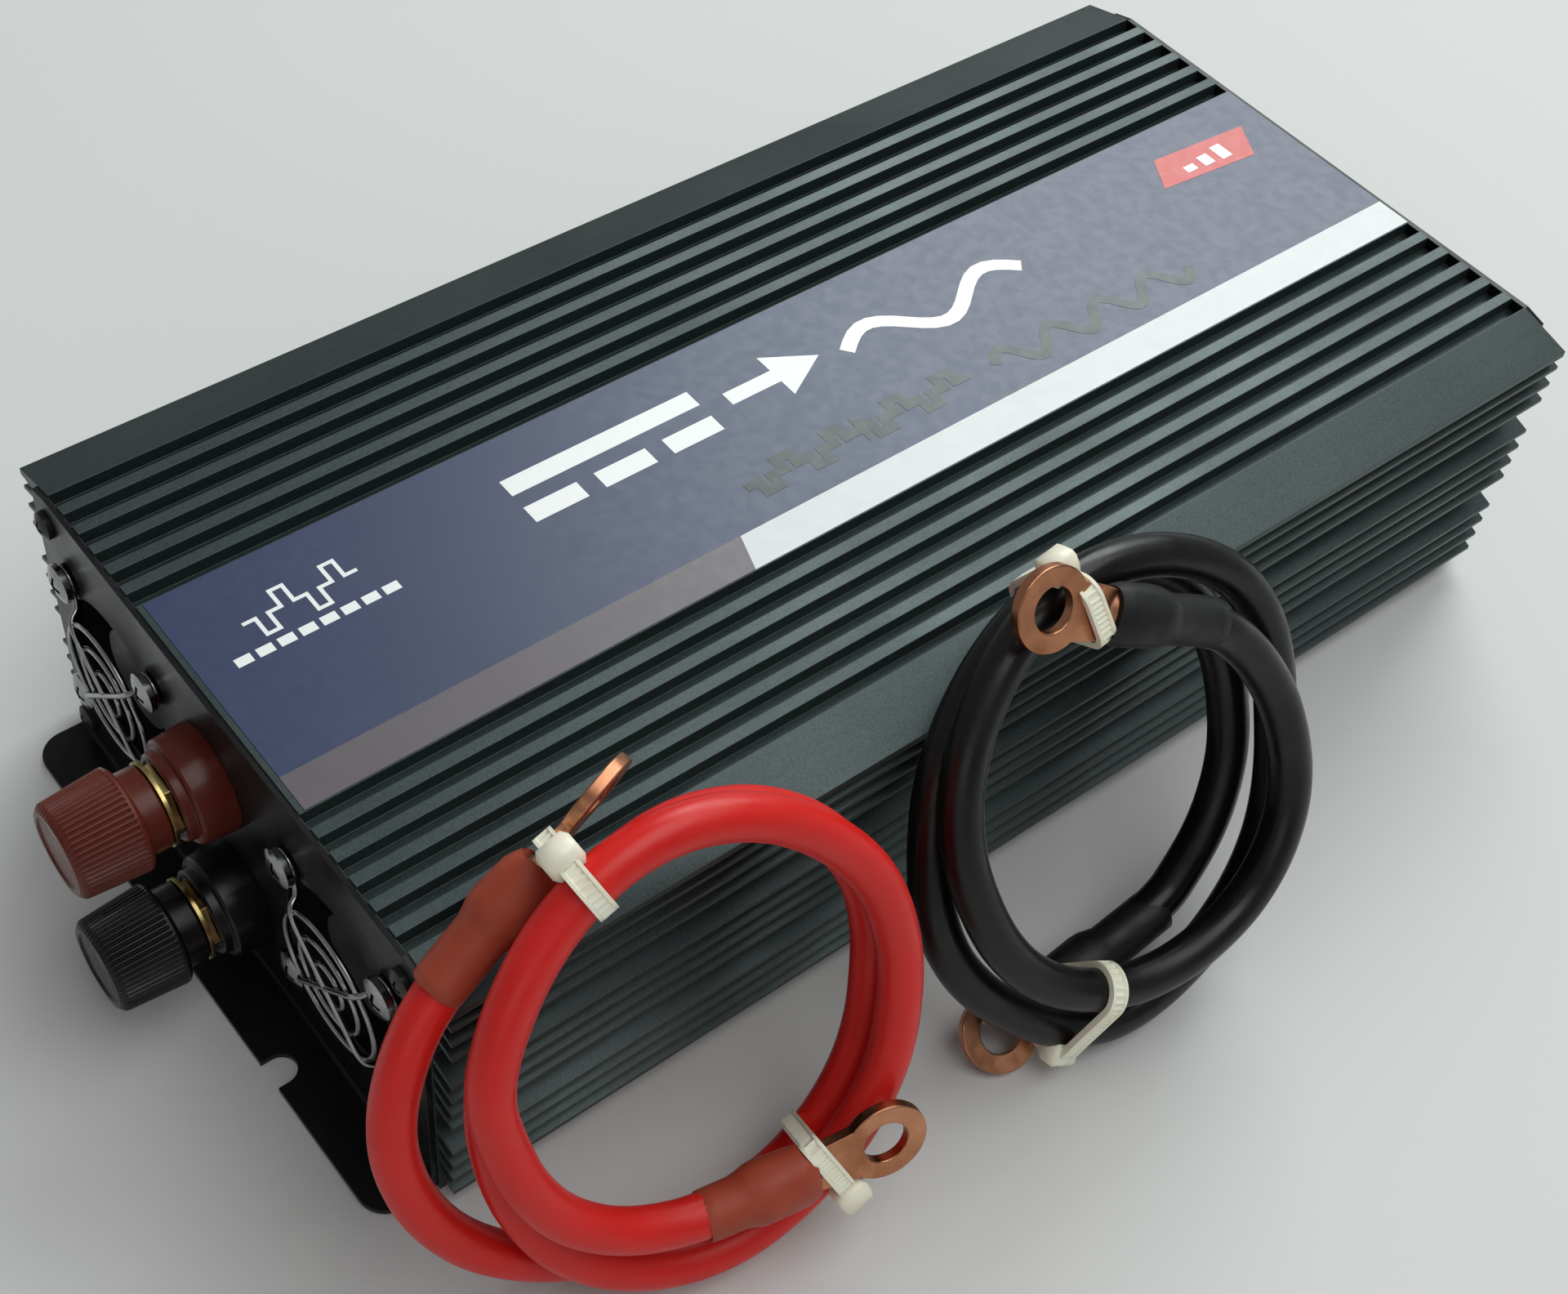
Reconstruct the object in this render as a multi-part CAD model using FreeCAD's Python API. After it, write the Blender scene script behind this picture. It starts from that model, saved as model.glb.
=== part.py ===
import FreeCAD, Part
import math
import os

from FreeCAD import Matrix, Placement, Rotation, Vector

# Power inverter with its two battery leads.  Millimetres.
# Origin: centre of the base, on the surface it stands on.  +Z up.
# -X is the battery end (fans and binding posts), +X is the mains end.

# ---- housing ----
LENGTH = 277.0
HALF = LENGTH / 2
TOP_Z = 71.5
PLATEAU_HALF = 27.75
TOP_GROOVE = 3.45
TOP_RIB = 2.45
TOP_RIB_COUNT = 5
TOP_GROOVE_DEPTH = 3.0
SHOULDER_OUTER = 73.0
SHOULDER_DROP = 3.2
SHOULDER_TIP = 1.5
FIN_PITCH = 4.8
FIN_STEPS = (1, 2, 3, 5, 6, 7, 8, 10, 11, 12, 13)
FIN_SLOPE = 2.6
FIN_ROOT_THICKNESS = 1.7
FIN_TIP_THICKNESS = 0.9
FIN_TAPER = 0.035
WALL_OUTER = 66.0
WALL_INNER = 63.5
ROOF_UNDERSIDE = 66.3
LEDGE_INNER = 57.0
LEDGE_Z = (2.1, 5.1)
BASE_THICKNESS = 2.0
BASE_HALF_WIDTH = 63.4
PORT_RADIUS = 3.3
PORT_HOLE_RADIUS = 1.25
PORT_CENTRES = ((61.0, 64.3), (61.0, 7.2))
BASE_SCREW_X = (-115.0, 0.0, 115.0)
BASE_SCREW_Y = 60.2
LABEL_THICKNESS = 0.25
LABEL_HALF = 27.5

# ---- end panels ----
SHEET = 1.2
PANEL_HALF = 65.5
PANEL_TOP = 71.2
PANEL_CORNER = (60.7, 69.9)
BEND_RADIUS = 2.2
FLANGE_REACH = 13.1
FLANGE_CORNER = 6.0
SLOT_Y = 28.7
SLOT_WIDTH = 6.5
SLOT_DEPTH = 5.5
PANEL_SCREW_RADIUS = 1.5
PANEL_HEAD_RADIUS = 2.9

# ---- fans ----
FAN_Y = 39.6
FAN_Z = 38.0
FAN_SIZE = 40.0
FAN_DEPTH = 20.0
FAN_SCREW_OFFSET = 16.0
FAN_BORE = 19.0
FAN_PANEL_HOLE = 18.5
FAN_HOLE_RADIUS = 2.15
FAN_SCREW_RADIUS = 1.95
FAN_HEAD_RADIUS = 4.0
FAN_BLADES = 7
BLADE_TIP = 18.2
HUB_RADIUS = 10.5
SHAFT_RADIUS = 1.0
BEARING_BORE = 1.05
WIRE_RADIUS = 0.6
GUARD_RINGS = (14.5, 9.5, 4.5)
GUARD_REACH = 3.7
EYELET_RADIUS = 2.9

# ---- binding posts: positions across the panel, then steps out from its face ----
POST_RED = (3.8, 49.2)
POST_BLACK = (-2.8, 21.2)
STUD_RADIUS = 3.9
STUD_INNER = -11.5
STUD_OUTER = 24.0
COLLAR_RADIUS = 11.0
COLLAR_TOP_RADIUS = 10.4
COLLAR_DEPTH = 7.3
NOSE_RADIUS = 9.0
NOSE_DEPTH = 9.3
SPIGOT_RADIUS = 6.0
HEX_DEPTH = 10.6
HEX_ACROSS = 13.0
WASHER_FACES = (10.8, 11.6)
WASHER_RADIUS = 8.4
KNOB_NECK_RADIUS = 8.1
KNOB_NECK_END = 16.3
KNOB_RADIUS = 10.2
KNOB_END_RADIUS = 9.4
KNOB_END = 30.1
KNOB_CHAMFER = 1.0
KNOB_BORE = STUD_RADIUS + 0.06
KNOB_BORE_END = 27.0
KNOB_RIBS = 36

# ---- mains end ----
OUTLET_Y = (-38.0, 10.0)
OUTLET_Z = 37.0
OUTLET_FLANGE = 46.0
OUTLET_FLANGE_THICKNESS = 3.0
OUTLET_BODY_RADIUS = 21.2
WELL_RADIUS = 19.5
WELL_DEPTH = 17.5
PIN_SPACING = 19.0
PIN_HOLE_RADIUS = 2.6
ROCKER_Y = 47.0
ROCKER_Z = 40.0
LAMP_Z = 61.0
LAMP_Y = (42.0, 52.0)

# ---- inside ----
BOARD_Z = 12.0
BOARD_THICKNESS = 1.6
BOARD_HALF = 62.3
BOARD_X = (-108.0, 104.0)

# ---- battery leads ----
CABLE_RADIUS = 4.1
LUG_THICKNESS = 2.2
LUG_RADIUS = 7.9
LUG_HOLE = 4.2
LUG_NECK_HALF = 4.6
LUG_LENGTH = 25.0
SLEEVE_START = 13.0
SLEEVE_RADIUS = 5.7
SLEEVE_CABLE_RADIUS = 4.7
TIE_WIDTH = 3.6
TIE_THICKNESS = 1.3
TIE_HEAD = 5.2
TIE_HEAD_WIDTH = 6.4
LEAD_CLEARANCE = 0.4


def box(x0, x1, y0, y1, z0, z1):
    return Part.makeBox(x1 - x0, y1 - y0, z1 - z0, Vector(x0, y0, z0))


def rod(start, end, radius):
    axis = Vector(*end) - Vector(*start)
    return Part.makeCylinder(radius, axis.Length, Vector(*start), axis)


def rod_x(x0, x1, y, z, radius):
    return rod((x0, y, z), (x1, y, z), radius)


def prism_x(outline, x0, x1):
    """A closed outline of (y, z) points, pulled from x0 to x1."""
    points = [Vector(x0, y, z) for y, z in outline]
    face = Part.Face(Part.makePolygon(points + points[:1]))
    return face.extrude(Vector(x1 - x0, 0, 0))


def turned_x(profile, y, z):
    """A closed profile of (x, radius) points, turned about the X line through (y, z)."""
    points = [Vector(x, y, z + radius) for x, radius in profile]
    face = Part.Face(Part.makePolygon(points + points[:1]))
    return face.revolve(Vector(0, y, z), Vector(1, 0, 0), 360)


def hexagon_x(x0, x1, y, z, across):
    corner = across / 2 / math.cos(math.radians(30))
    angles = [math.radians(60 * step) for step in range(6)]
    outline = [(y + corner * math.cos(a), z + corner * math.sin(a)) for a in angles]
    return prism_x(outline, x0, x1)


def fuse(pieces):
    whole = pieces[0]
    for piece in pieces[1:]:
        whole = whole.fuse(piece)
    return whole.removeSplitter()


def cut(body, tools):
    for tool in tools:
        body = body.cut(tool)
    return body


def save(name, shape):
    shape.exportStep("parts/" + name + ".step")
    print(f"{name}: {len(shape.Solids)} solid(s), {shape.Volume / 1000:.2f} cm3")


# ---------------------------------------------------------------- housing

def shell_half_outline():
    """The right half of the extrusion's section, from the middle of the roof to the inside."""
    points = [(0.0, TOP_Z)]
    y = PLATEAU_HALF
    for _ in range(TOP_RIB_COUNT):
        points += [(y, TOP_Z), (y, TOP_Z - TOP_GROOVE_DEPTH)]
        y += TOP_GROOVE
        points += [(y, TOP_Z - TOP_GROOVE_DEPTH), (y, TOP_Z)]
        y += TOP_RIB
    points += [(y, TOP_Z), (y, TOP_Z - TOP_GROOVE_DEPTH)]
    y += TOP_GROOVE
    points += [(y, TOP_Z - TOP_GROOVE_DEPTH), (y, TOP_Z)]
    edge_z = TOP_Z - SHOULDER_DROP
    points += [(SHOULDER_OUTER, edge_z), (SHOULDER_OUTER, edge_z - SHOULDER_TIP)]
    points.append((WALL_OUTER, edge_z - SHOULDER_TIP))
    for step in FIN_STEPS:
        tip_z = edge_z - FIN_PITCH * step
        tip_y = SHOULDER_OUTER - FIN_TAPER * (edge_z - tip_z)
        root_z = tip_z + FIN_SLOPE
        points += [
            (WALL_OUTER, root_z),
            (tip_y, tip_z + FIN_TIP_THICKNESS / 2),
            (tip_y, tip_z - FIN_TIP_THICKNESS / 2),
            (WALL_OUTER, root_z - FIN_ROOT_THICKNESS),
        ]
    points += [
        (WALL_OUTER, 0.0),
        (WALL_INNER, 0.0),
        (WALL_INNER, LEDGE_Z[0]),
        (LEDGE_INNER, LEDGE_Z[0]),
        (LEDGE_INNER, LEDGE_Z[1]),
        (WALL_INNER, LEDGE_Z[1]),
        (WALL_INNER, ROOF_UNDERSIDE),
        (0.0, ROOF_UNDERSIDE),
    ]
    return points


def top_shell():
    right = shell_half_outline()
    left = [(-y, z) for y, z in reversed(right[1:-1])]
    body = prism_x(right + left, -HALF, HALF)
    for side in (-1, 1):
        for y, z in PORT_CENTRES:
            body = body.fuse(rod_x(-HALF, HALF, side * y, z, PORT_RADIUS))
    for side in (-1, 1):
        for y, z in PORT_CENTRES:
            body = body.cut(rod_x(-HALF - 1, HALF + 1, side * y, z, PORT_HOLE_RADIUS))
        for x in BASE_SCREW_X:
            y = side * BASE_SCREW_Y
            body = body.cut(rod((x, y, -1), (x, y, LEDGE_Z[1]), PORT_HOLE_RADIUS))
    return body.removeSplitter()


def base_plate():
    plate = box(-HALF, HALF, -BASE_HALF_WIDTH, BASE_HALF_WIDTH, 0, BASE_THICKNESS)
    holes = []
    for x in BASE_SCREW_X:
        for y in (-BASE_SCREW_Y, BASE_SCREW_Y):
            holes.append(rod((x, y, -1), (x, y, BASE_THICKNESS + 1), 1.6))
            holes.append(Part.makeCone(3.0, 1.6, 1.4, Vector(x, y, 0)))
    return cut(plate, holes)


def base_screws():
    screws = []
    for x in BASE_SCREW_X:
        for y in (-BASE_SCREW_Y, BASE_SCREW_Y):
            head = Part.makeCone(2.9, 1.5, 1.4, Vector(x, y, 0.05))
            shank = rod((x, y, 1.0), (x, y, 4.9), PORT_HOLE_RADIUS)
            screws.append(fuse([head, shank]))
    return Part.makeCompound(screws)


def bent_sheet(end):
    """End panel with its foot flange bent outward; end is -1 for the battery end, 1 for mains."""
    inner = HALF
    outer = HALF + SHEET
    bend_x = outer + BEND_RADIUS - SHEET
    tip = HALF + FLANGE_REACH
    small = BEND_RADIUS - SHEET
    diagonal = math.sqrt(0.5)

    def at(x, z):
        return Vector(end * x, -PANEL_HALF, z)

    outer_mid = at(bend_x - BEND_RADIUS * diagonal, BEND_RADIUS - BEND_RADIUS * diagonal)
    inner_mid = at(bend_x - small * diagonal, BEND_RADIUS - small * diagonal)
    edges = [
        Part.LineSegment(at(tip, 0), at(bend_x, 0)).toShape(),
        Part.Arc(at(bend_x, 0), outer_mid, at(inner, BEND_RADIUS)).toShape(),
        Part.LineSegment(at(inner, BEND_RADIUS), at(inner, PANEL_TOP)).toShape(),
        Part.LineSegment(at(inner, PANEL_TOP), at(outer, PANEL_TOP)).toShape(),
        Part.LineSegment(at(outer, PANEL_TOP), at(outer, BEND_RADIUS)).toShape(),
        Part.Arc(at(outer, BEND_RADIUS), inner_mid, at(bend_x, SHEET)).toShape(),
        Part.LineSegment(at(bend_x, SHEET), at(tip, SHEET)).toShape(),
        Part.LineSegment(at(tip, SHEET), at(tip, 0)).toShape(),
    ]
    sheet = Part.Face(Part.Wire(edges)).extrude(Vector(0, 2 * PANEL_HALF, 0))
    for side in (-1, 1):
        sheet = sheet.cut(flange_corner(end, side))
        sheet = sheet.cut(flange_slot(end, side))
        notch = [
            (side * PANEL_CORNER[0], PANEL_TOP),
            (side * (PANEL_HALF + 1), PANEL_CORNER[1] - 0.3),
            (side * (PANEL_HALF + 1), PANEL_TOP + 1),
            (side * PANEL_CORNER[0], PANEL_TOP + 1),
        ]
        sheet = sheet.cut(prism_x(notch, end * (inner - 1), end * (outer + 1)))
        for y, z in PORT_CENTRES:
            sheet = sheet.cut(rod_x(end * (inner - 1), end * (outer + 1), side * y, z, 1.7))
    return sheet


def flange_corner(end, side):
    """What a rounded corner leaves off the flange."""
    tip = HALF + FLANGE_REACH
    x0, x1 = sorted((end * (tip - FLANGE_CORNER), end * (tip + 1)))
    y0, y1 = sorted((side * (PANEL_HALF - FLANGE_CORNER), side * (PANEL_HALF + 1)))
    centre = (end * (tip - FLANGE_CORNER), side * (PANEL_HALF - FLANGE_CORNER))
    round_part = rod((centre[0], centre[1], -2), (centre[0], centre[1], 3), FLANGE_CORNER)
    return box(x0, x1, y0, y1, -1, SHEET + 1).cut(round_part)


def flange_slot(end, side):
    """An open slot for a mounting screw, with a round end."""
    tip = HALF + FLANGE_REACH
    radius = SLOT_WIDTH / 2
    end_x = end * (tip - SLOT_DEPTH + radius)
    x0, x1 = sorted((end_x, end * (tip + 1)))
    y = side * SLOT_Y
    mouth = box(x0, x1, y - radius, y + radius, -1, SHEET + 1)
    return mouth.fuse(rod((end_x, y, -1), (end_x, y, SHEET + 1), radius))


def fan_screw_places():
    places = []
    for side in (-1, 1):
        for dy in (-FAN_SCREW_OFFSET, FAN_SCREW_OFFSET):
            for dz in (-FAN_SCREW_OFFSET, FAN_SCREW_OFFSET):
                places.append((side * FAN_Y + dy, FAN_Z + dz))
    return places


def battery_panel():
    sheet = bent_sheet(-1)
    x0, x1 = -HALF - SHEET - 1, -HALF + 1
    holes = [rod_x(x0, x1, side * FAN_Y, FAN_Z, FAN_PANEL_HOLE) for side in (-1, 1)]
    holes += [rod_x(x0, x1, y, z, FAN_HOLE_RADIUS) for y, z in fan_screw_places()]
    holes += [rod_x(x0, x1, y, z, SPIGOT_RADIUS + 0.1) for y, z in (POST_RED, POST_BLACK)]
    return cut(sheet, holes)


def mains_panel():
    sheet = bent_sheet(1)
    x0, x1 = HALF - 1, HALF + SHEET + 1
    holes = [rod_x(x0, x1, y, OUTLET_Z, OUTLET_BODY_RADIUS + 0.2) for y in OUTLET_Y]
    holes.append(box(x0, x1, ROCKER_Y - 6.6, ROCKER_Y + 6.6, ROCKER_Z - 9.7, ROCKER_Z + 9.7))
    holes += [rod_x(x0, x1, y, LAMP_Z, 1.6) for y in LAMP_Y]
    holes += [rod_x(x0, x1, y, z, 1.7) for y, z in outlet_screw_places()]
    return cut(sheet, holes)


def pan_screw(end, face, y, z, radius, head, shank_radius, shank):
    """A cross-recessed pan head that sits on face, with its shank running inward."""
    x = end * face
    rim = rod_x(x, x + end * head * 0.55, y, z, radius)
    dome_radius = (radius * radius + (head * 0.45) ** 2) / (2 * head * 0.45)
    dome = Part.makeSphere(dome_radius, Vector(x + end * (head - dome_radius), y, z))
    cap = dome.common(rod_x(x + end * head * 0.55, x + end * (head + 1), y, z, radius))
    body = fuse([rim, cap, rod_x(x, x - end * shank, y, z, shank_radius)])
    top = x + end * (head + 1)
    bottom = x + end * head * 0.45
    x0, x1 = sorted((top, bottom))
    arm, half = radius * 0.55, radius * 0.11
    body = body.cut(box(x0, x1, y - arm, y + arm, z - half, z + half))
    return body.cut(box(x0, x1, y - half, y + half, z - arm, z + arm))


def end_panel_screws():
    screws = []
    for end in (-1, 1):
        for side in (-1, 1):
            for y, z in PORT_CENTRES:
                screws.append(pan_screw(end, HALF + SHEET, side * y, z, PANEL_HEAD_RADIUS, 2.0, 1.2, 11))
    return Part.makeCompound(screws)


def top_label():
    return box(-HALF + 1.2, HALF, -LABEL_HALF, LABEL_HALF, TOP_Z, TOP_Z + LABEL_THICKNESS)


# ------------------------------------------------------------------- fans

def fan_frame(side):
    y, z = side * FAN_Y, FAN_Z
    half = FAN_SIZE / 2
    front, back = -HALF, -HALF + FAN_DEPTH
    frame = box(front, back, y - half, y + half, z - half, z + half)
    upright = [edge for edge in frame.Edges if abs(edge.tangentAt(edge.FirstParameter).x) > 0.9]
    frame = frame.makeFillet(3.0, upright)
    frame = frame.cut(rod_x(front - 1, back + 1, y, z, FAN_BORE))
    struts = [rod_x(back - 2, back, y, z, HUB_RADIUS)]
    for turn in range(4):
        strut = box(back - 2, back, y, y + FAN_BORE + 0.6, z - 1.5, z + 1.5)
        strut.rotate(Vector(0, y, z), Vector(1, 0, 0), 90 * turn + 20)
        struts.append(strut)
    tube = rod_x(back - 9, back, y, z, 3.0)
    frame = fuse([frame] + struts + [tube])
    frame = frame.cut(rod_x(back - 10, back - 1, y, z, BEARING_BORE))
    for screw_y, screw_z in fan_screw_places():
        if screw_y * side > 0:
            frame = frame.cut(rod_x(front - 1, back + 1, screw_y, screw_z, FAN_HOLE_RADIUS))
    return frame


def fan_rotor(side):
    y, z = side * FAN_Y, FAN_Z
    front, back = -HALF + 2, -HALF + FAN_DEPTH
    hub = rod_x(front, back - 3, y, z, HUB_RADIUS)
    hub = hub.cut(rod_x(front + 2, back - 2, y, z, HUB_RADIUS - 1.5))
    shaft = rod_x(front + 1, back - 1.5, y, z, SHAFT_RADIUS)
    pieces = [hub, shaft]
    middle = (front + back - 3) / 2
    for blade in range(FAN_BLADES):
        plate = box(middle - 6, middle + 6, y - 0.6, y + 0.6, z + HUB_RADIUS - 1, z + BLADE_TIP + 2)
        plate.rotate(Vector(middle, y, z), Vector(0, 0, 1), 38)
        plate.rotate(Vector(0, y, z), Vector(1, 0, 0), 360 / FAN_BLADES * blade)
        pieces.append(plate)
    rotor = fuse(pieces)
    limit = rod_x(front - 0.5, back - 2.6, y, z, BLADE_TIP)
    limit = limit.fuse(rod_x(front, back - 1.5, y, z, SHAFT_RADIUS))
    return rotor.common(limit)


def ring_x(x, y, z, radius, wire):
    return Part.makeTorus(radius, wire, Vector(x, y, z), Vector(1, 0, 0))


def fan_guard(side):
    """Two crossed wires from screw to screw, with three rings behind them."""
    y, z = side * FAN_Y, FAN_Z
    face = -HALF - SHEET
    seat = face - WIRE_RADIUS
    crown = face - GUARD_REACH
    pieces = [ring_x(crown + 0.9, y, z, radius, WIRE_RADIUS) for radius in GUARD_RINGS]
    diagonal = FAN_SCREW_OFFSET * math.sqrt(2)
    stations = [
        (seat, -diagonal + EYELET_RADIUS), (seat, -diagonal + EYELET_RADIUS + 1.2),
        (crown, -diagonal + EYELET_RADIUS + 3.4), (crown, diagonal - EYELET_RADIUS - 3.4),
        (seat, diagonal - EYELET_RADIUS - 1.2), (seat, diagonal - EYELET_RADIUS),
    ]
    for slope in (-1, 1):
        points = []
        for x, along in stations:
            step = along / math.sqrt(2)
            points.append((x, y + step, z + slope * step))
        for start, end in zip(points, points[1:]):
            pieces.append(rod(start, end, WIRE_RADIUS))
            pieces.append(Part.makeSphere(WIRE_RADIUS, Vector(*end)))
    for screw_y, screw_z in fan_screw_places():
        if screw_y * side > 0:
            pieces.append(ring_x(seat, screw_y, screw_z, EYELET_RADIUS, WIRE_RADIUS))
    return fuse(pieces)


def fan_screws():
    face = HALF + SHEET + 2 * WIRE_RADIUS
    places = fan_screw_places()
    return Part.makeCompound(
        [pan_screw(-1, face, y, z, FAN_HEAD_RADIUS, 2.2, FAN_SCREW_RADIUS, 26.5) for y, z in places]
    )


def fan_nuts():
    start = -HALF + FAN_DEPTH
    nuts = []
    for y, z in fan_screw_places():
        nut = hexagon_x(start, start + 3.0, y, z, 7.0)
        nuts.append(nut.cut(rod_x(start - 1, start + 4, y, z, FAN_SCREW_RADIUS)))
    return Part.makeCompound(nuts)


# ---------------------------------------------------------- binding posts

def out(distance):
    """X of a point that stands this far out from the battery panel's face."""
    return -HALF - SHEET - distance


def post_base(place):
    y, z = place
    profile = [
        (out(-SHEET - 1.8), STUD_RADIUS + 0.05), (out(-SHEET - 1.8), SPIGOT_RADIUS),
        (out(0), SPIGOT_RADIUS), (out(0), COLLAR_RADIUS),
        (out(COLLAR_DEPTH), COLLAR_TOP_RADIUS), (out(COLLAR_DEPTH), NOSE_RADIUS),
        (out(NOSE_DEPTH), NOSE_RADIUS - 0.4), (out(NOSE_DEPTH), STUD_RADIUS + 0.05),
    ]
    return turned_x(profile, y, z)


def post_stud(place):
    y, z = place
    shaft = rod_x(out(STUD_INNER), out(STUD_OUTER), y, z, STUD_RADIUS)
    return shaft.fuse(hexagon_x(out(NOSE_DEPTH), out(HEX_DEPTH), y, z, HEX_ACROSS)).removeSplitter()


def post_inner_bushes():
    bushes = []
    for y, z in (POST_RED, POST_BLACK):
        body = rod_x(out(-SHEET), out(-SHEET - 3), y, z, 10.0)
        body = body.cut(rod_x(out(-SHEET + 1), out(-SHEET - 1.8), y, z, SPIGOT_RADIUS + 0.05))
        bushes.append(body.cut(rod_x(out(0), out(-SHEET - 4), y, z, STUD_RADIUS + 0.05)))
    return Part.makeCompound(bushes)


def post_nuts():
    nuts = []
    for y, z in (POST_RED, POST_BLACK):
        nut = hexagon_x(out(-SHEET - 4.5), out(-SHEET - 9), y, z, HEX_ACROSS)
        nuts.append(nut.cut(rod_x(out(0), out(-SHEET - 10), y, z, STUD_RADIUS)))
    return Part.makeCompound(nuts)


def clamp_washer(place):
    y, z = place
    near, far = WASHER_FACES
    disc = rod_x(out(near), out(far), y, z, WASHER_RADIUS)
    return disc.cut(rod_x(out(near - 1), out(far + 1), y, z, STUD_RADIUS + 0.1))


def post_knob(place):
    y, z = place
    start = WASHER_FACES[1] + 0.1
    profile = [
        (out(start), KNOB_BORE), (out(start), KNOB_NECK_RADIUS),
        (out(KNOB_NECK_END), KNOB_NECK_RADIUS), (out(KNOB_NECK_END), KNOB_RADIUS),
        (out(KNOB_END - KNOB_CHAMFER), KNOB_END_RADIUS),
        (out(KNOB_END), KNOB_END_RADIUS - KNOB_CHAMFER), (out(KNOB_END), 0),
        (out(KNOB_BORE_END), 0), (out(KNOB_BORE_END), KNOB_BORE),
    ]
    knob = turned_x(profile, y, z)
    for rib in range(KNOB_RIBS):
        groove = rod_x(out(KNOB_NECK_END + 0.8), out(KNOB_END + 1), y, z + KNOB_RADIUS + 0.15, 0.42)
        groove.rotate(Vector(0, y, z), Vector(1, 0, 0), 360 / KNOB_RIBS * rib)
        knob = knob.cut(groove)
    return knob


def post_strap(place, reach, side):
    """Copper strap from the inner nut, back over the board and down to it."""
    y, z = place
    x0, x1 = sorted((out(-SHEET - 3), out(-SHEET - 4.5)))
    width = 6.0
    shift = side * 9.0
    end_x = BOARD_X[0] + reach
    plate = rod_x(x0, x1, y, z, 8.0).fuse(box(x0, x1, min(y, y + shift), max(y, y + shift), z - 6, z + 6))
    plate = plate.fuse(rod_x(x0, x1, y + shift, z, width))
    arm_y = y + shift
    arm = box(x0, end_x, arm_y + side * width - 0.75, arm_y + side * width + 0.75, z - 6, z + 6)
    plate = plate.fuse(box(x0, x1, min(arm_y, arm_y + side * width), max(arm_y, arm_y + side * width), z - 6, z + 6))
    drop_y = arm_y + side * width
    leg = box(end_x - 10, end_x, drop_y - 0.75, drop_y + 0.75, BOARD_Z + BOARD_THICKNESS, z + 6)
    strap = fuse([plate, arm, leg])
    return strap.cut(rod_x(x0 - 1, x1 + 1, y, z, STUD_RADIUS + 0.05))


# -------------------------------------------------------------- mains end

def outlet_screw_places():
    return [(y + dy, OUTLET_Z + dz) for y in OUTLET_Y for dy, dz in ((-19.5, 19.5), (19.5, -19.5))]


def outlet(y):
    face = HALF + SHEET
    half = OUTLET_FLANGE / 2
    flange = box(face, face + OUTLET_FLANGE_THICKNESS, y - half, y + half, OUTLET_Z - half, OUTLET_Z + half)
    corners = [edge for edge in flange.Edges if abs(edge.tangentAt(edge.FirstParameter).x) > 0.9]
    flange = flange.makeFillet(4.0, corners)
    mouth = face + OUTLET_FLANGE_THICKNESS
    floor = mouth - WELL_DEPTH
    body = rod_x(floor - 3, face, y, OUTLET_Z, OUTLET_BODY_RADIUS)
    block = rod_x(floor - 14, floor - 3, y, OUTLET_Z, 15.0)
    whole = fuse([flange, body, block])
    whole = whole.cut(rod_x(floor, mouth + 1, y, OUTLET_Z, WELL_RADIUS))
    for step in (-PIN_SPACING / 2, PIN_SPACING / 2):
        whole = whole.cut(rod_x(floor - 3, floor + 1, y + step, OUTLET_Z, PIN_HOLE_RADIUS))
        whole = whole.cut(rod_x(floor - 13, floor - 3, y + step, OUTLET_Z, 3.5))
    for screw_y, screw_z in outlet_screw_places():
        if abs(screw_y - y) < half:
            whole = whole.cut(rod_x(face - 1, mouth + 1, screw_y, screw_z, 1.7))
    return whole


def outlet_contacts():
    """Two brass sleeves behind each outlet's holes, and the two earth clips in its well."""
    floor = HALF + SHEET + OUTLET_FLANGE_THICKNESS - WELL_DEPTH
    contacts = []
    for y in OUTLET_Y:
        for step in (-PIN_SPACING / 2, PIN_SPACING / 2):
            tube = rod_x(floor - 13, floor - 3, y + step, OUTLET_Z, 3.45)
            contacts.append(tube.cut(rod_x(floor - 12, floor - 2, y + step, OUTLET_Z, 2.65)))
        for side in (-1, 1):
            z0, z1 = sorted((OUTLET_Z + side * 18.0, OUTLET_Z + side * 18.8))
            contacts.append(box(floor, floor + 12, y - 3, y + 3, z0, z1))
    return Part.makeCompound(contacts)


def outlet_screws():
    face = HALF + SHEET + OUTLET_FLANGE_THICKNESS
    return Part.makeCompound(
        [pan_screw(1, face, y, z, 2.8, 1.8, 1.45, 8) for y, z in outlet_screw_places()]
    )


def rocker_frame():
    face = HALF + SHEET
    y, z = ROCKER_Y, ROCKER_Z
    rim = box(face, face + 2, y - 8, y + 8, z - 11, z + 11)
    can = box(face - 15, face, y - 6.4, y + 6.4, z - 9.5, z + 9.5)
    frame = fuse([rim, can])
    frame = frame.cut(box(face - 9, face + 3, y - 5.4, y + 5.4, z - 8.8, z + 8.8))
    return frame.cut(rod((face, y - 6.2, z), (face, y + 6.2, z), 1.06))


def rocker_paddle():
    face = HALF + SHEET
    y, z = ROCKER_Y, ROCKER_Z
    outline = [(-4.5, -5.0), (2.2, -8.0), (4.6, -7.9), (3.4, 0.0), (4.6, 7.9), (2.2, 8.0), (-4.5, 5.0)]
    points = [Vector(face + dx, y - 5.0, z + dz) for dx, dz in outline]
    paddle = Part.Face(Part.makePolygon(points + points[:1])).extrude(Vector(0, 10.0, 0))
    paddle = paddle.common(rod((face, y - 6, z), (face, y + 6, z), 8.5))
    paddle = paddle.fuse(rod((face, y - 6.1, z), (face, y + 6.1, z), 1.0)).removeSplitter()
    paddle.rotate(Vector(face, y, z), Vector(0, 1, 0), -9)
    return paddle


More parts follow.
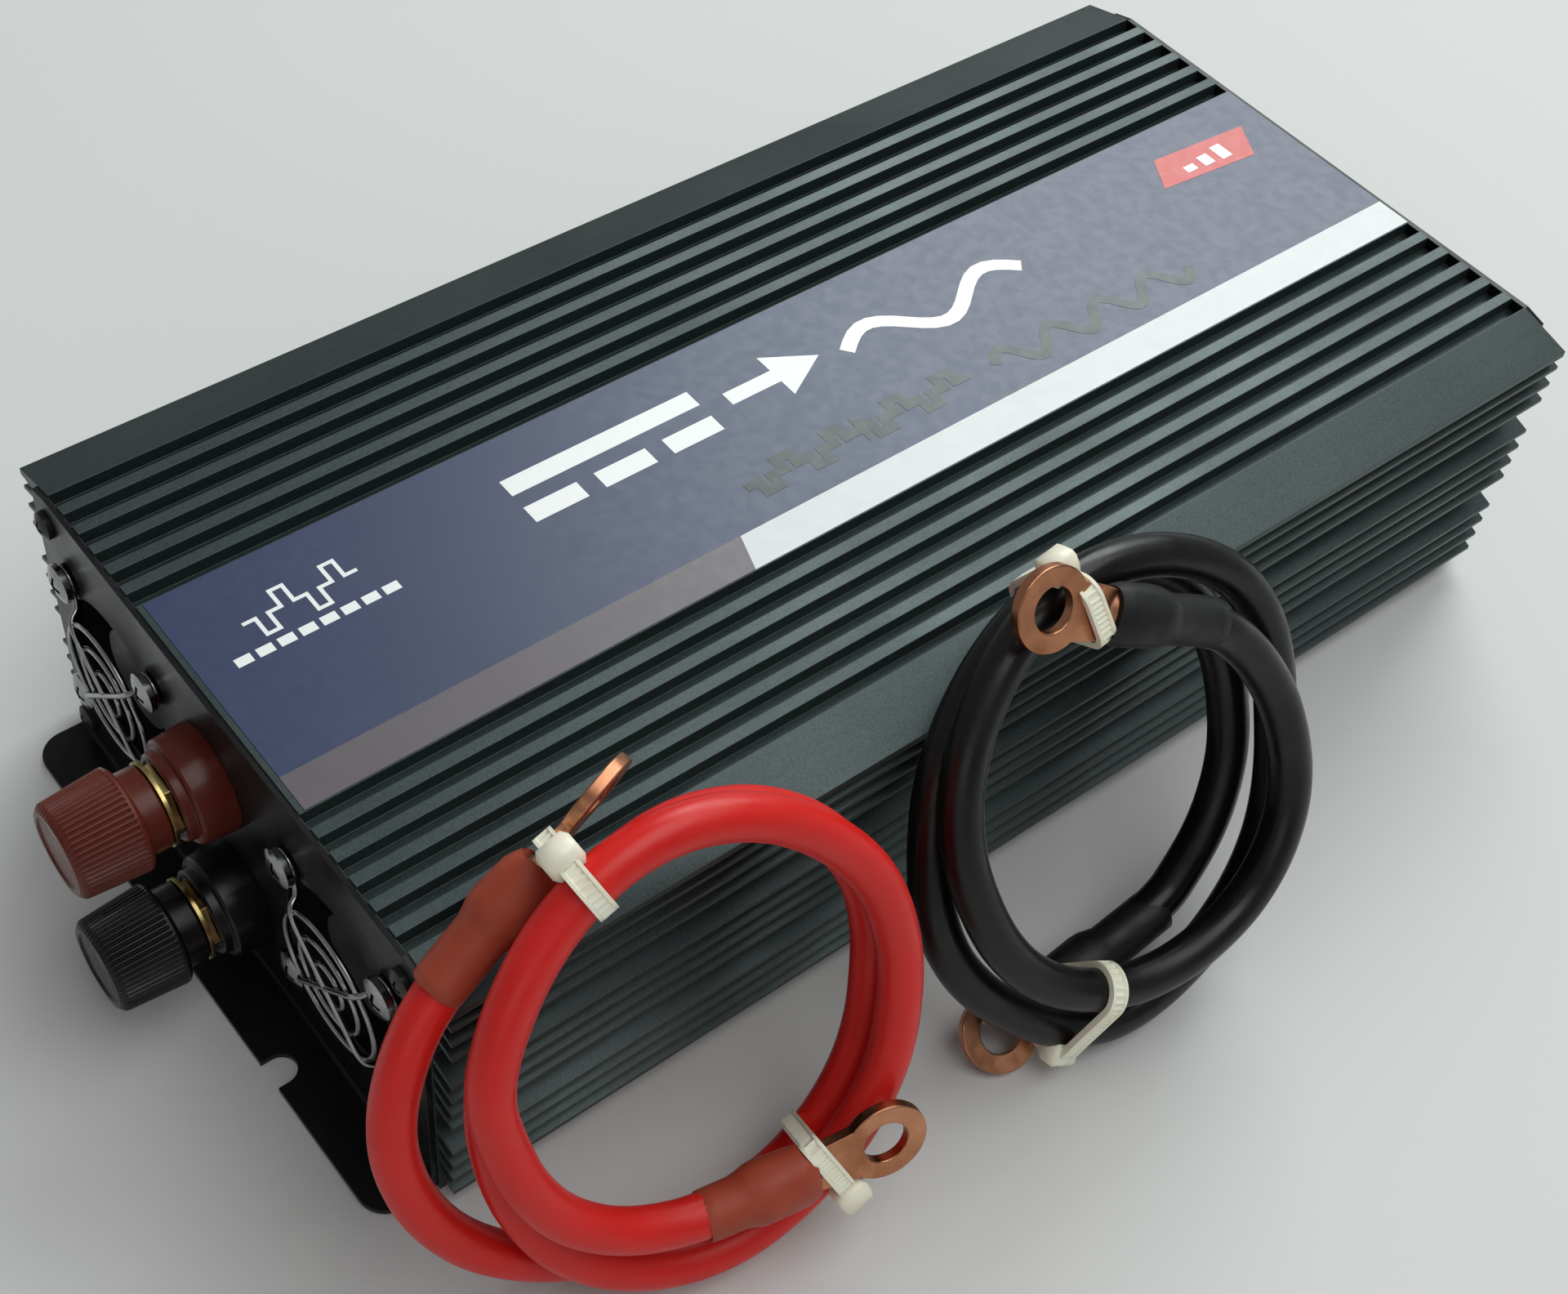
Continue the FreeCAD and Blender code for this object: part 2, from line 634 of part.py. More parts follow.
def lamps():
    face = HALF + SHEET
    pieces = []
    for y in LAMP_Y:
        lens = rod_x(face - 3, face + 0.6, y, LAMP_Z, 1.5)
        dome = Part.makeSphere(1.5, Vector(face + 0.6, y, LAMP_Z))
        foot = rod_x(face - 4, face - SHEET, y, LAMP_Z, 2.2)
        pieces.append(fuse([lens, dome, foot]))
    return Part.makeCompound(pieces)


# ----------------------------------------------------------------- inside

STANDOFF_PLACES = [(x, y) for x in (-95.0, 0.0, 92.0) for y in (-50.0, 50.0)]


def main_board():
    board = box(BOARD_X[0], BOARD_X[1], -BOARD_HALF, BOARD_HALF, BOARD_Z, BOARD_Z + BOARD_THICKNESS)
    holes = [rod((x, y, BOARD_Z - 1), (x, y, BOARD_Z + 3), 1.6) for x, y in STANDOFF_PLACES]
    return cut(board, holes)


def board_standoffs():
    posts = []
    for x, y in STANDOFF_PLACES:
        post = rod((x, y, BASE_THICKNESS), (x, y, BOARD_Z), 3.0)
        posts.append(post.cut(rod((x, y, BASE_THICKNESS + 2), (x, y, BOARD_Z + 1), 1.25)))
    return Part.makeCompound(posts)


def board_screws():
    top = BOARD_Z + BOARD_THICKNESS
    screws = []
    for x, y in STANDOFF_PLACES:
        screws.append(fuse([rod((x, y, top), (x, y, top + 2), 2.8), rod((x, y, top - 8), (x, y, top), 1.25)]))
    return Part.makeCompound(screws)


def transformer_core(x):
    """Two E-shaped ferrite halves round the winding, standing on the board."""
    z = BOARD_Z + BOARD_THICKNESS + 1
    core = box(x - 10, x + 10, -22, 22, z, z + 38)
    windows = [box(x - 11, x + 11, y0, y0 + 9, z + 6, z + 32) for y0 in (-16, 7)]
    return cut(core, windows)


def transformer_winding(x):
    """The bobbin with its copper, round the core's middle leg, with its pins in the board."""
    z = BOARD_Z + BOARD_THICKNESS + 1
    coil = box(x - 18, x + 18, -15.7, 15.7, z + 6.3, z + 31.7)
    edges = [edge for edge in coil.Edges if abs(edge.tangentAt(edge.FirstParameter).z) > 0.9]
    coil = coil.makeFillet(6.0, edges)
    coil = coil.cut(box(x - 10.2, x + 10.2, -7.2, 7.2, z, z + 40))
    feet = [box(x + s * 14 - 2, x + s * 14 + 2, -8, 8, z - 1, z + 7) for s in (-1, 1)]
    return fuse([coil] + feet)


def input_capacitors():
    top = BOARD_Z + BOARD_THICKNESS
    cans = []
    for y in (-48, -29, 29, 48):
        for x in (-96, -76):
            if abs(x + 96) > 1 or abs(y) < 40:
                cans.append(rod((x, y, top), (x, y, top + 34), 8.0))
    return Part.makeCompound(cans)


def output_capacitor():
    top = BOARD_Z + BOARD_THICKNESS
    return rod((80, 0, top), (80, 0, top + 40), 12.5)


def power_transistors():
    """Flat plastic packages with three legs each, backs against the side walls."""
    top = BOARD_Z + BOARD_THICKNESS
    pieces = []
    for side in (-1, 1):
        for x in range(-60, 80, 20):
            y0, y1 = sorted((side * (WALL_INNER - 0.2), side * (WALL_INNER - 4.7)))
            body = box(x - 5, x + 5, y0, y1, top + 5, top + 21)
            middle = (y0 + y1) / 2
            legs = [box(x + dx - 0.5, x + dx + 0.5, middle - 0.4, middle + 0.4, top, top + 5) for dx in (-2.5, 0, 2.5)]
            pieces.append(fuse([body] + legs))
    return Part.makeCompound(pieces)


def transistor_clamps():
    top = BOARD_Z + BOARD_THICKNESS
    bars = []
    for side in (-1, 1):
        near = WALL_INNER - 4.7
        y0, y1 = sorted((side * near, side * (near - 2)))
        bar = box(-72, 72, y0, y1, top + 8, top + 18)
        feet = [box(x - 3, x + 3, y0, y1, top, top + 8) for x in (-69, 69)]
        bars.append(fuse([bar] + feet))
    return Part.makeCompound(bars)


def blade_fuses():
    top = BOARD_Z + BOARD_THICKNESS
    return Part.makeCompound([box(x - 2.5, x + 2.5, -9.5, 9.5, top, top + 19) for x in (-64, -56, -48)])


def control_board():
    top = BOARD_Z + BOARD_THICKNESS
    return box(50, 51.6, -32, 32, top, top + 34)


# ---------------------------------------------------------- battery leads

class Lie:
    """A plane that a coiled lead leans in: across is level, up climbs it, toward faces out of it."""

    def __init__(self, centre, toward):
        self.centre = Vector(*centre)
        self.toward = Vector(*toward).normalize()
        self.across = Vector(0, 0, 1).cross(self.toward).normalize()
        self.up = self.toward.cross(self.across)

    def at(self, across, up, toward=0.0):
        return self.centre + self.across * across + self.up * up + self.toward * toward

    def polar(self, degrees, radius, toward=0.0):
        angle = math.radians(degrees)
        return self.at(radius * math.cos(angle), radius * math.sin(angle), toward)

    def radial(self, degrees):
        angle = math.radians(degrees)
        return self.across * math.cos(angle) + self.up * math.sin(angle)


RED_LIE = Lie((-100.1, -91.5, 52.5), (-0.14, -0.933, 0.33))
BLACK_LIE = Lie((-6.0, -96.0, 49.1), (-0.09, -0.888, 0.451))


def strands_at(turns, degrees):
    """(radius, depth) of every strand of a coil that passes this angle."""
    found = []
    for (turn0, radius0, depth0), (turn1, radius1, depth1) in zip(turns, turns[1:]):
        for lap in range(-3, 4):
            share = (degrees + 360 * lap - turn0) / (turn1 - turn0)
            if 0 <= share < 1:
                radius = radius0 + share * (radius1 - radius0)
                found.append((radius, depth0 + share * (depth1 - depth0)))
    return found


def closed_curve(points):
    curve = Part.BSplineCurve()
    curve.interpolate(points, True)
    return Part.Wire(curve.toShape())


def coil_envelope(lie, turns):
    """The outer shape of the coiled cable: a thick ring with the coil's own outlines."""
    outside, inside, depths = [], [], []
    for degrees in range(0, 360, 15):
        strands = strands_at(turns, degrees)
        outside.append((degrees, max(radius for radius, _ in strands) + CABLE_RADIUS))
        inside.append((degrees, min(radius for radius, _ in strands) - CABLE_RADIUS))
        depths += [depth for _, depth in strands]
    back = min(depths) - CABLE_RADIUS
    thickness = max(depths) + CABLE_RADIUS - back
    solids = []
    for outline in (outside, inside):
        wire = closed_curve([lie.polar(degrees, radius, back) for degrees, radius in outline])
        solids.append(Part.Face(wire).extrude(lie.toward * thickness))
    ring = solids[0].cut(solids[1])
    floor = box(-HALF * 2, HALF * 2, -HALF * 2, 0, -HALF, 0)
    room = SHOULDER_OUTER + LEAD_CLEARANCE
    housing = box(-HALF * 2, HALF * 2, -room, 0, -1, TOP_Z + LEAD_CLEARANCE)
    return ring.cut(floor).cut(housing)


def place_along(shape, origin, along, normal):
    """Put a shape drawn at the origin so that its +X runs along, and its +Z faces normal."""
    x = Vector(along).normalize()
    z = Vector(normal) - x * x.dot(normal)
    z.normalize()
    y = z.cross(x)
    matrix = Matrix(x.x, y.x, z.x, origin.x, x.y, y.y, z.y, origin.y, x.z, y.z, z.z, origin.z, 0, 0, 0, 1)
    moved = shape.copy()
    moved.Placement = Placement(matrix)
    return moved


def ring_lug():
    """Copper ring lug: ring round the origin, barrel along +X, flat face up."""
    half = LUG_THICKNESS / 2
    ring = Part.makeCylinder(LUG_RADIUS, LUG_THICKNESS, Vector(0, 0, -half))
    neck = box(0, SLEEVE_START, -LUG_NECK_HALF, LUG_NECK_HALF, -half, half)
    barrel = rod((SLEEVE_START - 1, 0, 0), (LUG_LENGTH, 0, 0), CABLE_RADIUS)
    lug = fuse([ring, neck, barrel])
    return lug.cut(Part.makeCylinder(LUG_HOLE, 10, Vector(0, 0, -5)))


def lug_room(free_side):
    """Clear space for a bolt through the ring, open on the side that it comes from."""
    half = LUG_THICKNESS / 2 + LEAD_CLEARANCE
    pocket = Part.makeCylinder(LUG_RADIUS + LEAD_CLEARANCE, 2 * half, Vector(0, 0, -half))
    bolt = Part.makeCylinder(LUG_HOLE + 2 * LEAD_CLEARANCE, 10, Vector(0, 0, -5))
    way_in = Part.makeCylinder(LUG_RADIUS + LEAD_CLEARANCE, 60, Vector(0, 0, 0), Vector(0, 0, free_side))
    return fuse([pocket, bolt, way_in])


def sleeve_envelope(end):
    wide = rod((SLEEVE_START, 0, 0), (LUG_LENGTH, 0, 0), SLEEVE_RADIUS)
    slim = rod((LUG_LENGTH, 0, 0), (end, 0, 0), SLEEVE_CABLE_RADIUS)
    return fuse([wide, slim])


def heat_shrink(end):
    """Sleeve over the lug's barrel and the cable's end: thicker over the barrel."""
    return sleeve_envelope(end).cut(rod((0, 0, 0), (end + 1, 0, 0), CABLE_RADIUS))


def cable_stub(end):
    """The cable's end inside its sleeve, up to where it joins the coil."""
    return rod((LUG_LENGTH, 0, 0), (end + 1.5, 0, 0), CABLE_RADIUS)


def convex(points):
    """Corners of the convex outline round these points, counter-clockwise."""
    ordered = sorted(set(points))
    outline = []
    for chain in (ordered, ordered[::-1]):
        side = []
        for point in chain:
            while len(side) > 1 and turn_of(side[-2], side[-1], point) <= 1e-9:
                side.pop()
            side.append(point)
        outline += side[:-1]
    return outline


def turn_of(a, b, c):
    return (b[0] - a[0]) * (c[1] - a[1]) - (b[1] - a[1]) * (c[0] - a[0])


def tie_prism(lie, degrees, circles, extra, width):
    """A tight wrap round circles of (radius, depth, thickness) in the plane across the coil."""
    points = []
    for radius, depth, reach in circles:
        for step in range(16):
            angle = math.radians(22.5 * step)
            points.append((radius + (reach + extra) * math.cos(angle), depth + (reach + extra) * math.sin(angle)))
    sideways = lie.toward.cross(lie.radial(degrees))
    corners = [lie.polar(degrees, r, depth) - sideways * (width / 2) for r, depth in convex(points)]
    return Part.Face(Part.makePolygon(corners + corners[:1])).extrude(sideways * width)


def cable_tie(lie, degrees, circles, head):
    """Strap and head; head is the (radius, depth) of the head's middle."""
    band = tie_prism(lie, degrees, circles, TIE_THICKNESS, TIE_WIDTH)
    band = band.cut(tie_prism(lie, degrees, circles, 0.0, TIE_WIDTH + 2))
    block = box(-TIE_HEAD / 2, TIE_HEAD / 2, -TIE_HEAD / 2, TIE_HEAD / 2, -TIE_HEAD_WIDTH / 2, TIE_HEAD_WIDTH / 2)
    sideways = lie.toward.cross(lie.radial(degrees))
    block = place_along(block, lie.polar(degrees, *head), lie.radial(degrees), sideways)
    block = block.cut(tie_prism(lie, degrees, circles, 0.0, TIE_HEAD_WIDTH + 2))
    return band.fuse(block).removeSplitter()


def lead(name, lie, turns, ends, ties):
    """One battery lead: coil, a lug and sleeve on each end, and two ties."""
    coil = coil_envelope(lie, turns)
    bands = [cable_tie(lie, *tie) for tie in ties]
    coil = cut(coil, bands)
    for (end_name, ring_place, normal, free_side), station in zip(ends, (turns[0], turns[-1])):
        ring_centre = lie.at(*ring_place)
        along = lie.polar(*station) - ring_centre
        place = (ring_centre, along, normal)
        lug = place_along(ring_lug(), *place)
        sleeve = place_along(sleeve_envelope(along.Length), *place)
        bolt_room = place_along(lug_room(free_side), *place)
        save(f"{name}_lead_{end_name}_lug", lug)
        save(f"{name}_lead_{end_name}_sleeve", place_along(heat_shrink(along.Length), *place))
        bands = [cut(band, [lug, sleeve, bolt_room]) for band in bands]
        coil = cut(coil, [lug, sleeve, bolt_room]).fuse(place_along(cable_stub(along.Length), *place))
    save(f"{name}_lead_ties", Part.makeCompound(bands))
    save(f"{name}_lead_coil", max(coil.Solids, key=lambda solid: solid.Volume))
    print(f"{name} lead: cable radius {CABLE_RADIUS} mm")


# (turned so far in degrees, radius, depth) of the cable's line in its plane
RED_TURNS = [
    (149, 48.9, -7.2), (157, 50.9, -7.0), (166, 52.6, -6.8), (176, 54.9, -6.5), (190, 55.8, -6.3),
    (205, 55.3, -6.2), (217, 54.0, -6.0), (228, 52.4, -6.4), (240, 51.2, -7.0), (268, 48.3, -7.2),
    (282, 48.0, -7.5), (302, 44.3, -7.5), (339, 37.2, -7.5), (351, 36.2, -7.3), (372, 36.5, -7.0),
    (405, 37.5, -6.0), (430, 39.2, -5.2), (450, 40.5, -3.8), (480, 39.6, -1.7), (506, 38.4, -1.0),
    (528, 39.0, -1.3), (544, 40.4, -1.4), (557, 41.5, -1.2), (574, 44.3, -0.5), (590, 47.2, 0.6),
    (610, 48.2, 1.6), (619, 48.7, 1.7), (628, 47.8, 2.0), (649, 44.0, 2.0), (676, 40.2, 2.0),
    (702, 36.5, 2.0), (730, 35.9, 2.0), (765, 38.4, 2.5), (786, 41.2, 3.0), (799, 44.1, 3.5),
    (818, 46.3, 3.5), (841, 46.0, 5.0), (863, 44.0, 6.0), (883, 43.4, 6.5), (901, 40.1, 6.5),
    (922, 38.8, 6.5), (933, 38.2, 6.5), (948, 36.7, 6.5), (962, 35.3, 6.5), (975, 34.2, 6.5),
]
BLACK_TURNS = [
    (64, 36.4, 8.5), (42, 33.3, 7.5), (22, 32.3, 7.0), (2, 32.5, 6.5), (-25, 34.5, 6.0),
    (-50, 35.6, 5.5), (-74, 35.1, 5.5), (-115, 36.1, 5.5), (-145, 37.4, 5.5), (-173, 38.4, 5.5),
    (-194, 41.7, 5.5), (-216, 45.6, 5.0), (-234, 47.9, 4.5), (-250, 48.7, 2.4), (-262, 48.7, 1.0),
    (-285, 47.2, 0.3), (-312, 45.0, -0.5), (-335, 41.0, -1.5), (-352, 37.5, -2.0), (-366, 36.8, -2.0),
    (-379, 37.4, -2.0), (-403, 40.1, -2.2), (-424, 42.5, -2.5), (-441, 44.9, -2.5), (-454, 47.4, -2.5),
    (-466, 49.0, -2.5), (-478, 47.4, -2.5), (-492, 45.8, -2.5), (-526, 44.8, -2.5), (-550, 43.0, -2.6),
    (-589, 43.1, -4.0), (-615, 43.5, -6.5), (-630, 43.0, -8.0), (-650, 41.0, -10.0), (-680, 37.5, -10.5),
    (-698, 34.8, -10.5), (-714, 33.3, -11.0), (-744, 33.0, -11.0), (-774, 34.4, -11.5), (-793, 37.0, -11.5),
]


def red_lead():
    lie = RED_LIE
    edge_on = lie.across * 0.87 + lie.toward * 0.5
    ends = [
        ("upper", (-10.6, 48.9, -7.2), edge_on, -1),
        ("lower", (25.4, -31.6, 9.8), lie.toward, 1),
    ]
    ties = [
        (114, [(46.2, 4.6, 4.2), (40.0, -2.0, 4.2), (43.5, -10.5, 1.3), (49.7, -3.9, 1.3)], (51.0, 2.4)),
        (294, [(45.9, -7.5, 4.2), (43.2, 2.0, 4.2), (39.8, 8.8, 1.3), (30.6, 8.8, 1.3)], (45.5, 8.5)),
    ]
    lead("red", lie, RED_TURNS, ends, ties)


def black_lead():
    lie = BLACK_LIE
    laid_back = lie.toward * 0.89 + lie.up * 0.45
    ends = [
        ("upper", (-19.5, 51.0, 11.5), lie.toward, 1),
        ("lower", (-29.7, -43.2, -10.5), laid_back, -1),
    ]
    ties = [
        (103, [(48.7, 1.6, 4.2), (43.5, -6.7, 4.2), (43.2, 10.8, 1.3), (52.0, 10.8, 1.3)], (55.5, 5.0)),
        (244, [(36.1, 5.5, 4.2), (48.0, -2.5, 4.2), (42.4, -12.8, 1.3), (49.8, -8.6, 1.3)], (51.5, -1.5)),
    ]
    lead("black", lie, BLACK_TURNS, ends, ties)


def main():
    os.makedirs("parts", exist_ok=True)
    save("top_shell", top_shell())
    save("base_plate", base_plate())
    save("base_screws", base_screws())
    save("battery_panel", battery_panel())
    save("mains_panel", mains_panel())
    save("end_panel_screws", end_panel_screws())
    save("top_label", top_label())
    for name, side in (("near", -1), ("far", 1)):
        save("fan_frame_" + name, fan_frame(side))
        save("fan_rotor_" + name, fan_rotor(side))
        save("fan_guard_" + name, fan_guard(side))
    save("fan_screws", fan_screws())
    save("fan_nuts", fan_nuts())
    for name, place in (("red", POST_RED), ("black", POST_BLACK)):
        save(name + "_post_base", post_base(place))
        save(name + "_post_stud", post_stud(place))
        save(name + "_post_washer", clamp_washer(place))
        save(name + "_post_knob", post_knob(place))
    save("post_inner_bushes", post_inner_bushes())
    save("post_nuts", post_nuts())
    save("positive_strap", post_strap(POST_RED, 22, 1))
    save("negative_strap", post_strap(POST_BLACK, 22, -1))
    for name, y in zip(("near", "far"), OUTLET_Y):
        save("outlet_" + name, outlet(y))
    save("outlet_contacts", outlet_contacts())
    save("outlet_screws", outlet_screws())
    save("rocker_frame", rocker_frame())
    save("rocker_paddle", rocker_paddle())
    save("indicator_lamps", lamps())
    save("main_board", main_board())
    save("board_standoffs", board_standoffs())
    save("board_screws", board_screws())
    for name, x in (("a", -22), ("b", 22)):
        save("transformer_core_" + name, transformer_core(x))
        save("transformer_winding_" + name, transformer_winding(x))
    save("input_capacitors", input_capacitors())
    save("output_capacitor", output_capacitor())
    save("power_transistors", power_transistors())
    save("transistor_clamps", transistor_clamps())
    save("blade_fuses", blade_fuses())
    save("control_board", control_board())
    red_lead()
    black_lead()


main()
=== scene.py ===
import math

import bmesh
import bpy
from mathutils import Matrix, Vector


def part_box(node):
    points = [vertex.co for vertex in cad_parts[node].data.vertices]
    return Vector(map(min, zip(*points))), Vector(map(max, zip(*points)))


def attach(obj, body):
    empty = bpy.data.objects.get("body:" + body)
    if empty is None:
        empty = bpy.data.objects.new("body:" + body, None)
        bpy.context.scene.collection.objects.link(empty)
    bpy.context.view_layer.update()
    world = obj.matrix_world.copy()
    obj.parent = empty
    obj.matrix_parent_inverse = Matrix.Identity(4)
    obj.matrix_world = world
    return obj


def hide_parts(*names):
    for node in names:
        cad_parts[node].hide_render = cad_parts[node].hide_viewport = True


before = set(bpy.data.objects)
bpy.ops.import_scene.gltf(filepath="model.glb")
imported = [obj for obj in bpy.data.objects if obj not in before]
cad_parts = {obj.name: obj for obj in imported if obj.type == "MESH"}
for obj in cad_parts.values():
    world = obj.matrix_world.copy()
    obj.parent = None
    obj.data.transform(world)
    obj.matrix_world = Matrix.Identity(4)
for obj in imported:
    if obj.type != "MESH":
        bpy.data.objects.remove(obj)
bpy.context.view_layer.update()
MM = 0.001


# ----------------------------------------------------------------- camera

def make_camera():
    place = Vector((-0.23925, -0.2430, 0.3913))
    right = Vector((0.78512, -0.61523, 0.07103))
    up = Vector((0.43240, 0.62665, 0.64833))
    back = right.cross(up)
    data = bpy.data.cameras.new("camera")
    data.sensor_width = 36.0
    data.lens = 54.09
    data.shift_x = 0.0162
    data.shift_y = -0.0043
    camera = bpy.data.objects.new("camera", data)
    turned = Matrix((right, up, back)).transposed().to_4x4()
    camera.matrix_world = Matrix.Translation(place) @ turned
    bpy.context.scene.collection.objects.link(camera)
    bpy.context.scene.camera = camera


# -------------------------------------------------------------- materials

BEVEL_SAMPLES = 4


class Finish:
    """A node material whose colour, roughness and surface are varied with noise in the object's own space."""

    def __init__(self, name, colour, roughness, metallic=0.0):
        self.material = bpy.data.materials.new(name)
        self.material.use_nodes = True
        self.nodes = self.material.node_tree.nodes
        self.links = self.material.node_tree.links
        self.shader = self.nodes["Principled BSDF"]
        self.place = self.nodes.new("ShaderNodeTexCoord").outputs["Object"]
        self.colour = (*colour, 1.0)
        self.normal = None
        self.shader.inputs["Base Color"].default_value = self.colour
        self.shader.inputs["Roughness"].default_value = roughness
        self.shader.inputs["Metallic"].default_value = metallic
        self.material.diffuse_color = self.colour

    def set(self, **values):
        for name, value in values.items():
            self.shader.inputs[name.replace("_", " ")].default_value = value
        return self

    def join(self, output, target):
        self.links.new(output, target)

    def noise(self, scale, detail=3.0, stretch=(1.0, 1.0, 1.0)):
        mapping = self.nodes.new("ShaderNodeMapping")
        mapping.inputs["Scale"].default_value = stretch
        self.join(self.place, mapping.inputs["Vector"])
        texture = self.nodes.new("ShaderNodeTexNoise")
        texture.inputs["Scale"].default_value = scale
        texture.inputs["Detail"].default_value = detail
        self.join(mapping.outputs["Vector"], texture.inputs["Vector"])
        return texture.outputs["Fac"]

    def spread(self, value, low, high, start=0.35, end=0.65):
        """Maps a noise value onto the range low to high."""
        node = self.nodes.new("ShaderNodeMapRange")
        node.inputs["From Min"].default_value = start
        node.inputs["From Max"].default_value = end
        node.inputs["To Min"].default_value = low
        node.inputs["To Max"].default_value = high
        self.join(value, node.inputs["Value"])
        return node.outputs["Result"]

    def tint(self, value, other, share):
        """Mixes another colour in where value is high."""
        node = self.nodes.new("ShaderNodeMix")
        node.data_type = "RGBA"
        base = self.shader.inputs["Base Color"]
        if base.is_linked:
            self.join(base.links[0].from_socket, node.inputs["A"])
        else:
            node.inputs["A"].default_value = self.colour
        node.inputs["B"].default_value = (*other, 1.0)
        self.join(self.spread(value, 0.0, share), node.inputs["Factor"])
        self.join(node.outputs["Result"], base)
        return self

    def wear(self, value, low, high):
        self.join(self.spread(value, low, high), self.shader.inputs["Roughness"])
        return self

    def bump(self, value, distance):
        node = self.nodes.new("ShaderNodeBump")
        node.inputs["Distance"].default_value = distance
        self.join(value, node.inputs["Height"])
        if self.normal is not None:
            self.join(self.normal, node.inputs["Normal"])
        self.normal = node.outputs["Normal"]
        self.join(self.normal, self.shader.inputs["Normal"])
        return self

    def soften(self, radius):
        """Rounds sharp edges in the shading."""
        node = self.nodes.new("ShaderNodeBevel")
        node.samples = BEVEL_SAMPLES
        node.inputs["Radius"].default_value = radius
        self.normal = node.outputs["Normal"]
        self.join(self.normal, self.shader.inputs["Normal"])
        return self

    def edges(self, radius, colour, share):
        """Paints another colour along sharp edges: a painted highlight where the edges catch the light."""
        bevel = self.nodes.new("ShaderNodeBevel")
        bevel.samples = BEVEL_SAMPLES
        bevel.inputs["Radius"].default_value = radius
        geometry = self.nodes.new("ShaderNodeNewGeometry")
        dot = self.nodes.new("ShaderNodeVectorMath")
        dot.operation = "DOT_PRODUCT"
        self.join(bevel.outputs["Normal"], dot.inputs[0])
        self.join(geometry.outputs["Normal"], dot.inputs[1])
        # mask along sharp edges where the painted highlight goes
        edge_highlight_mask = self.spread(dot.outputs["Value"], 1.0, 0.0, 0.80, 0.99)
        return self.tint(edge_highlight_mask, colour, share)


def case_finish():
    finish = Finish("case_finish", (0.030, 0.043, 0.044), 0.40, 0.55)
    finish.soften(0.25 * MM)
    streaks = finish.noise(260.0, 3.0, (0.02, 1.0, 1.0))
    finish.tint(streaks, (0.040, 0.056, 0.056), 0.7)
    finish.tint(finish.noise(18.0), (0.024, 0.034, 0.036), 0.5)
    finish.tint(finish.noise(2400.0, 1.0), (0.070, 0.092, 0.090), 0.35)
    # painted highlight: lighter colour along the case's sharp edges
    finish.edges(0.35 * MM, (0.12, 0.15, 0.15), 0.55)
    finish.wear(finish.noise(30.0, 5.0), 0.34, 0.46)
    finish.bump(streaks, 0.02 * MM)
    return finish.bump(finish.noise(2600.0, 2.0), 0.016 * MM).material


def panel_finish():
    finish = Finish("panel_finish", (0.006, 0.006, 0.007), 0.25)
    finish.set(Specular_IOR_Level=0.2)
    finish.soften(0.3 * MM)
    # painted highlight: grey along the near-black panel's edges
    finish.edges(0.4 * MM, (0.06, 0.06, 0.06), 0.45)
    finish.tint(finish.noise(60.0, 5.0), (0.012, 0.012, 0.012), 0.6)
    finish.wear(finish.noise(45.0, 6.0), 0.20, 0.36)
    return finish.bump(finish.noise(420.0, 2.0), 0.02 * MM).material


def film_finish(name, colour):
    """Printed plastic film: a little uneven, with a fine grain."""
    roughness = 0.34
    finish = Finish(name, colour, roughness)
    lighter = [0.01 + 1.05 * part for part in colour]
    finish.tint(finish.noise(40.0, 5.0), lighter, 0.25)
    finish.wear(finish.noise(400.0, 3.0), roughness - 0.02, roughness + 0.03)
    return finish.bump(finish.noise(1500.0, 2.0), 0.006 * MM).material


def cable_finish(name, colour, dust, roughness):
    finish = Finish(name, colour, roughness)
    finish.set(Specular_IOR_Level=0.35)
    finish.tint(finish.noise(70.0, 6.0), dust, 0.35)
    finish.wear(finish.noise(120.0, 5.0), roughness - 0.07, roughness + 0.09)
    finish.bump(finish.noise(160.0, 2.0), 0.05 * MM)
    return finish.bump(finish.noise(1800.0, 2.0), 0.008 * MM).material


def shrink_finish(name, colour, light):
    finish = Finish(name, colour, 0.48)
    finish.set(Specular_IOR_Level=0.35)
    finish.tint(finish.noise(150.0, 5.0), light, 0.5)
    finish.wear(finish.noise(200.0, 4.0), 0.42, 0.58)
    finish.bump(finish.noise(260.0, 3.0), 0.12 * MM)
    return finish.bump(finish.noise(1400.0, 2.0), 0.015 * MM).material


def nylon_finish():
    finish = Finish("nylon_finish", (0.92, 0.86, 0.68), 0.32)
    finish.set(Subsurface_Weight=0.25, Subsurface_Scale=0.002)
    finish.tint(finish.noise(180.0), (0.93, 0.92, 0.80), 0.6)
    finish.wear(finish.noise(300.0), 0.26, 0.40)
    return finish.bump(finish.noise(900.0), 0.01 * MM).material


def copper_finish():
    finish = Finish("copper_finish", (0.54, 0.23, 0.12), 0.24, 1.0)
    finish.soften(0.25 * MM)
    finish.tint(finish.noise(190.0, 6.0), (0.30, 0.11, 0.05), 0.8)
    finish.tint(finish.noise(60.0, 3.0), (0.80, 0.40, 0.24), 0.4)
    finish.wear(finish.noise(240.0, 6.0), 0.20, 0.42)
    return finish.bump(finish.noise(700.0, 4.0), 0.02 * MM).material


def brass_finish():
    finish = Finish("brass_finish", (0.60, 0.47, 0.20), 0.26, 1.0)
    finish.soften(0.2 * MM)
    finish.tint(finish.noise(220.0, 5.0), (0.34, 0.25, 0.09), 0.7)
    finish.wear(finish.noise(300.0, 4.0), 0.18, 0.36)
    return finish.bump(finish.noise(900.0, 3.0), 0.01 * MM).material


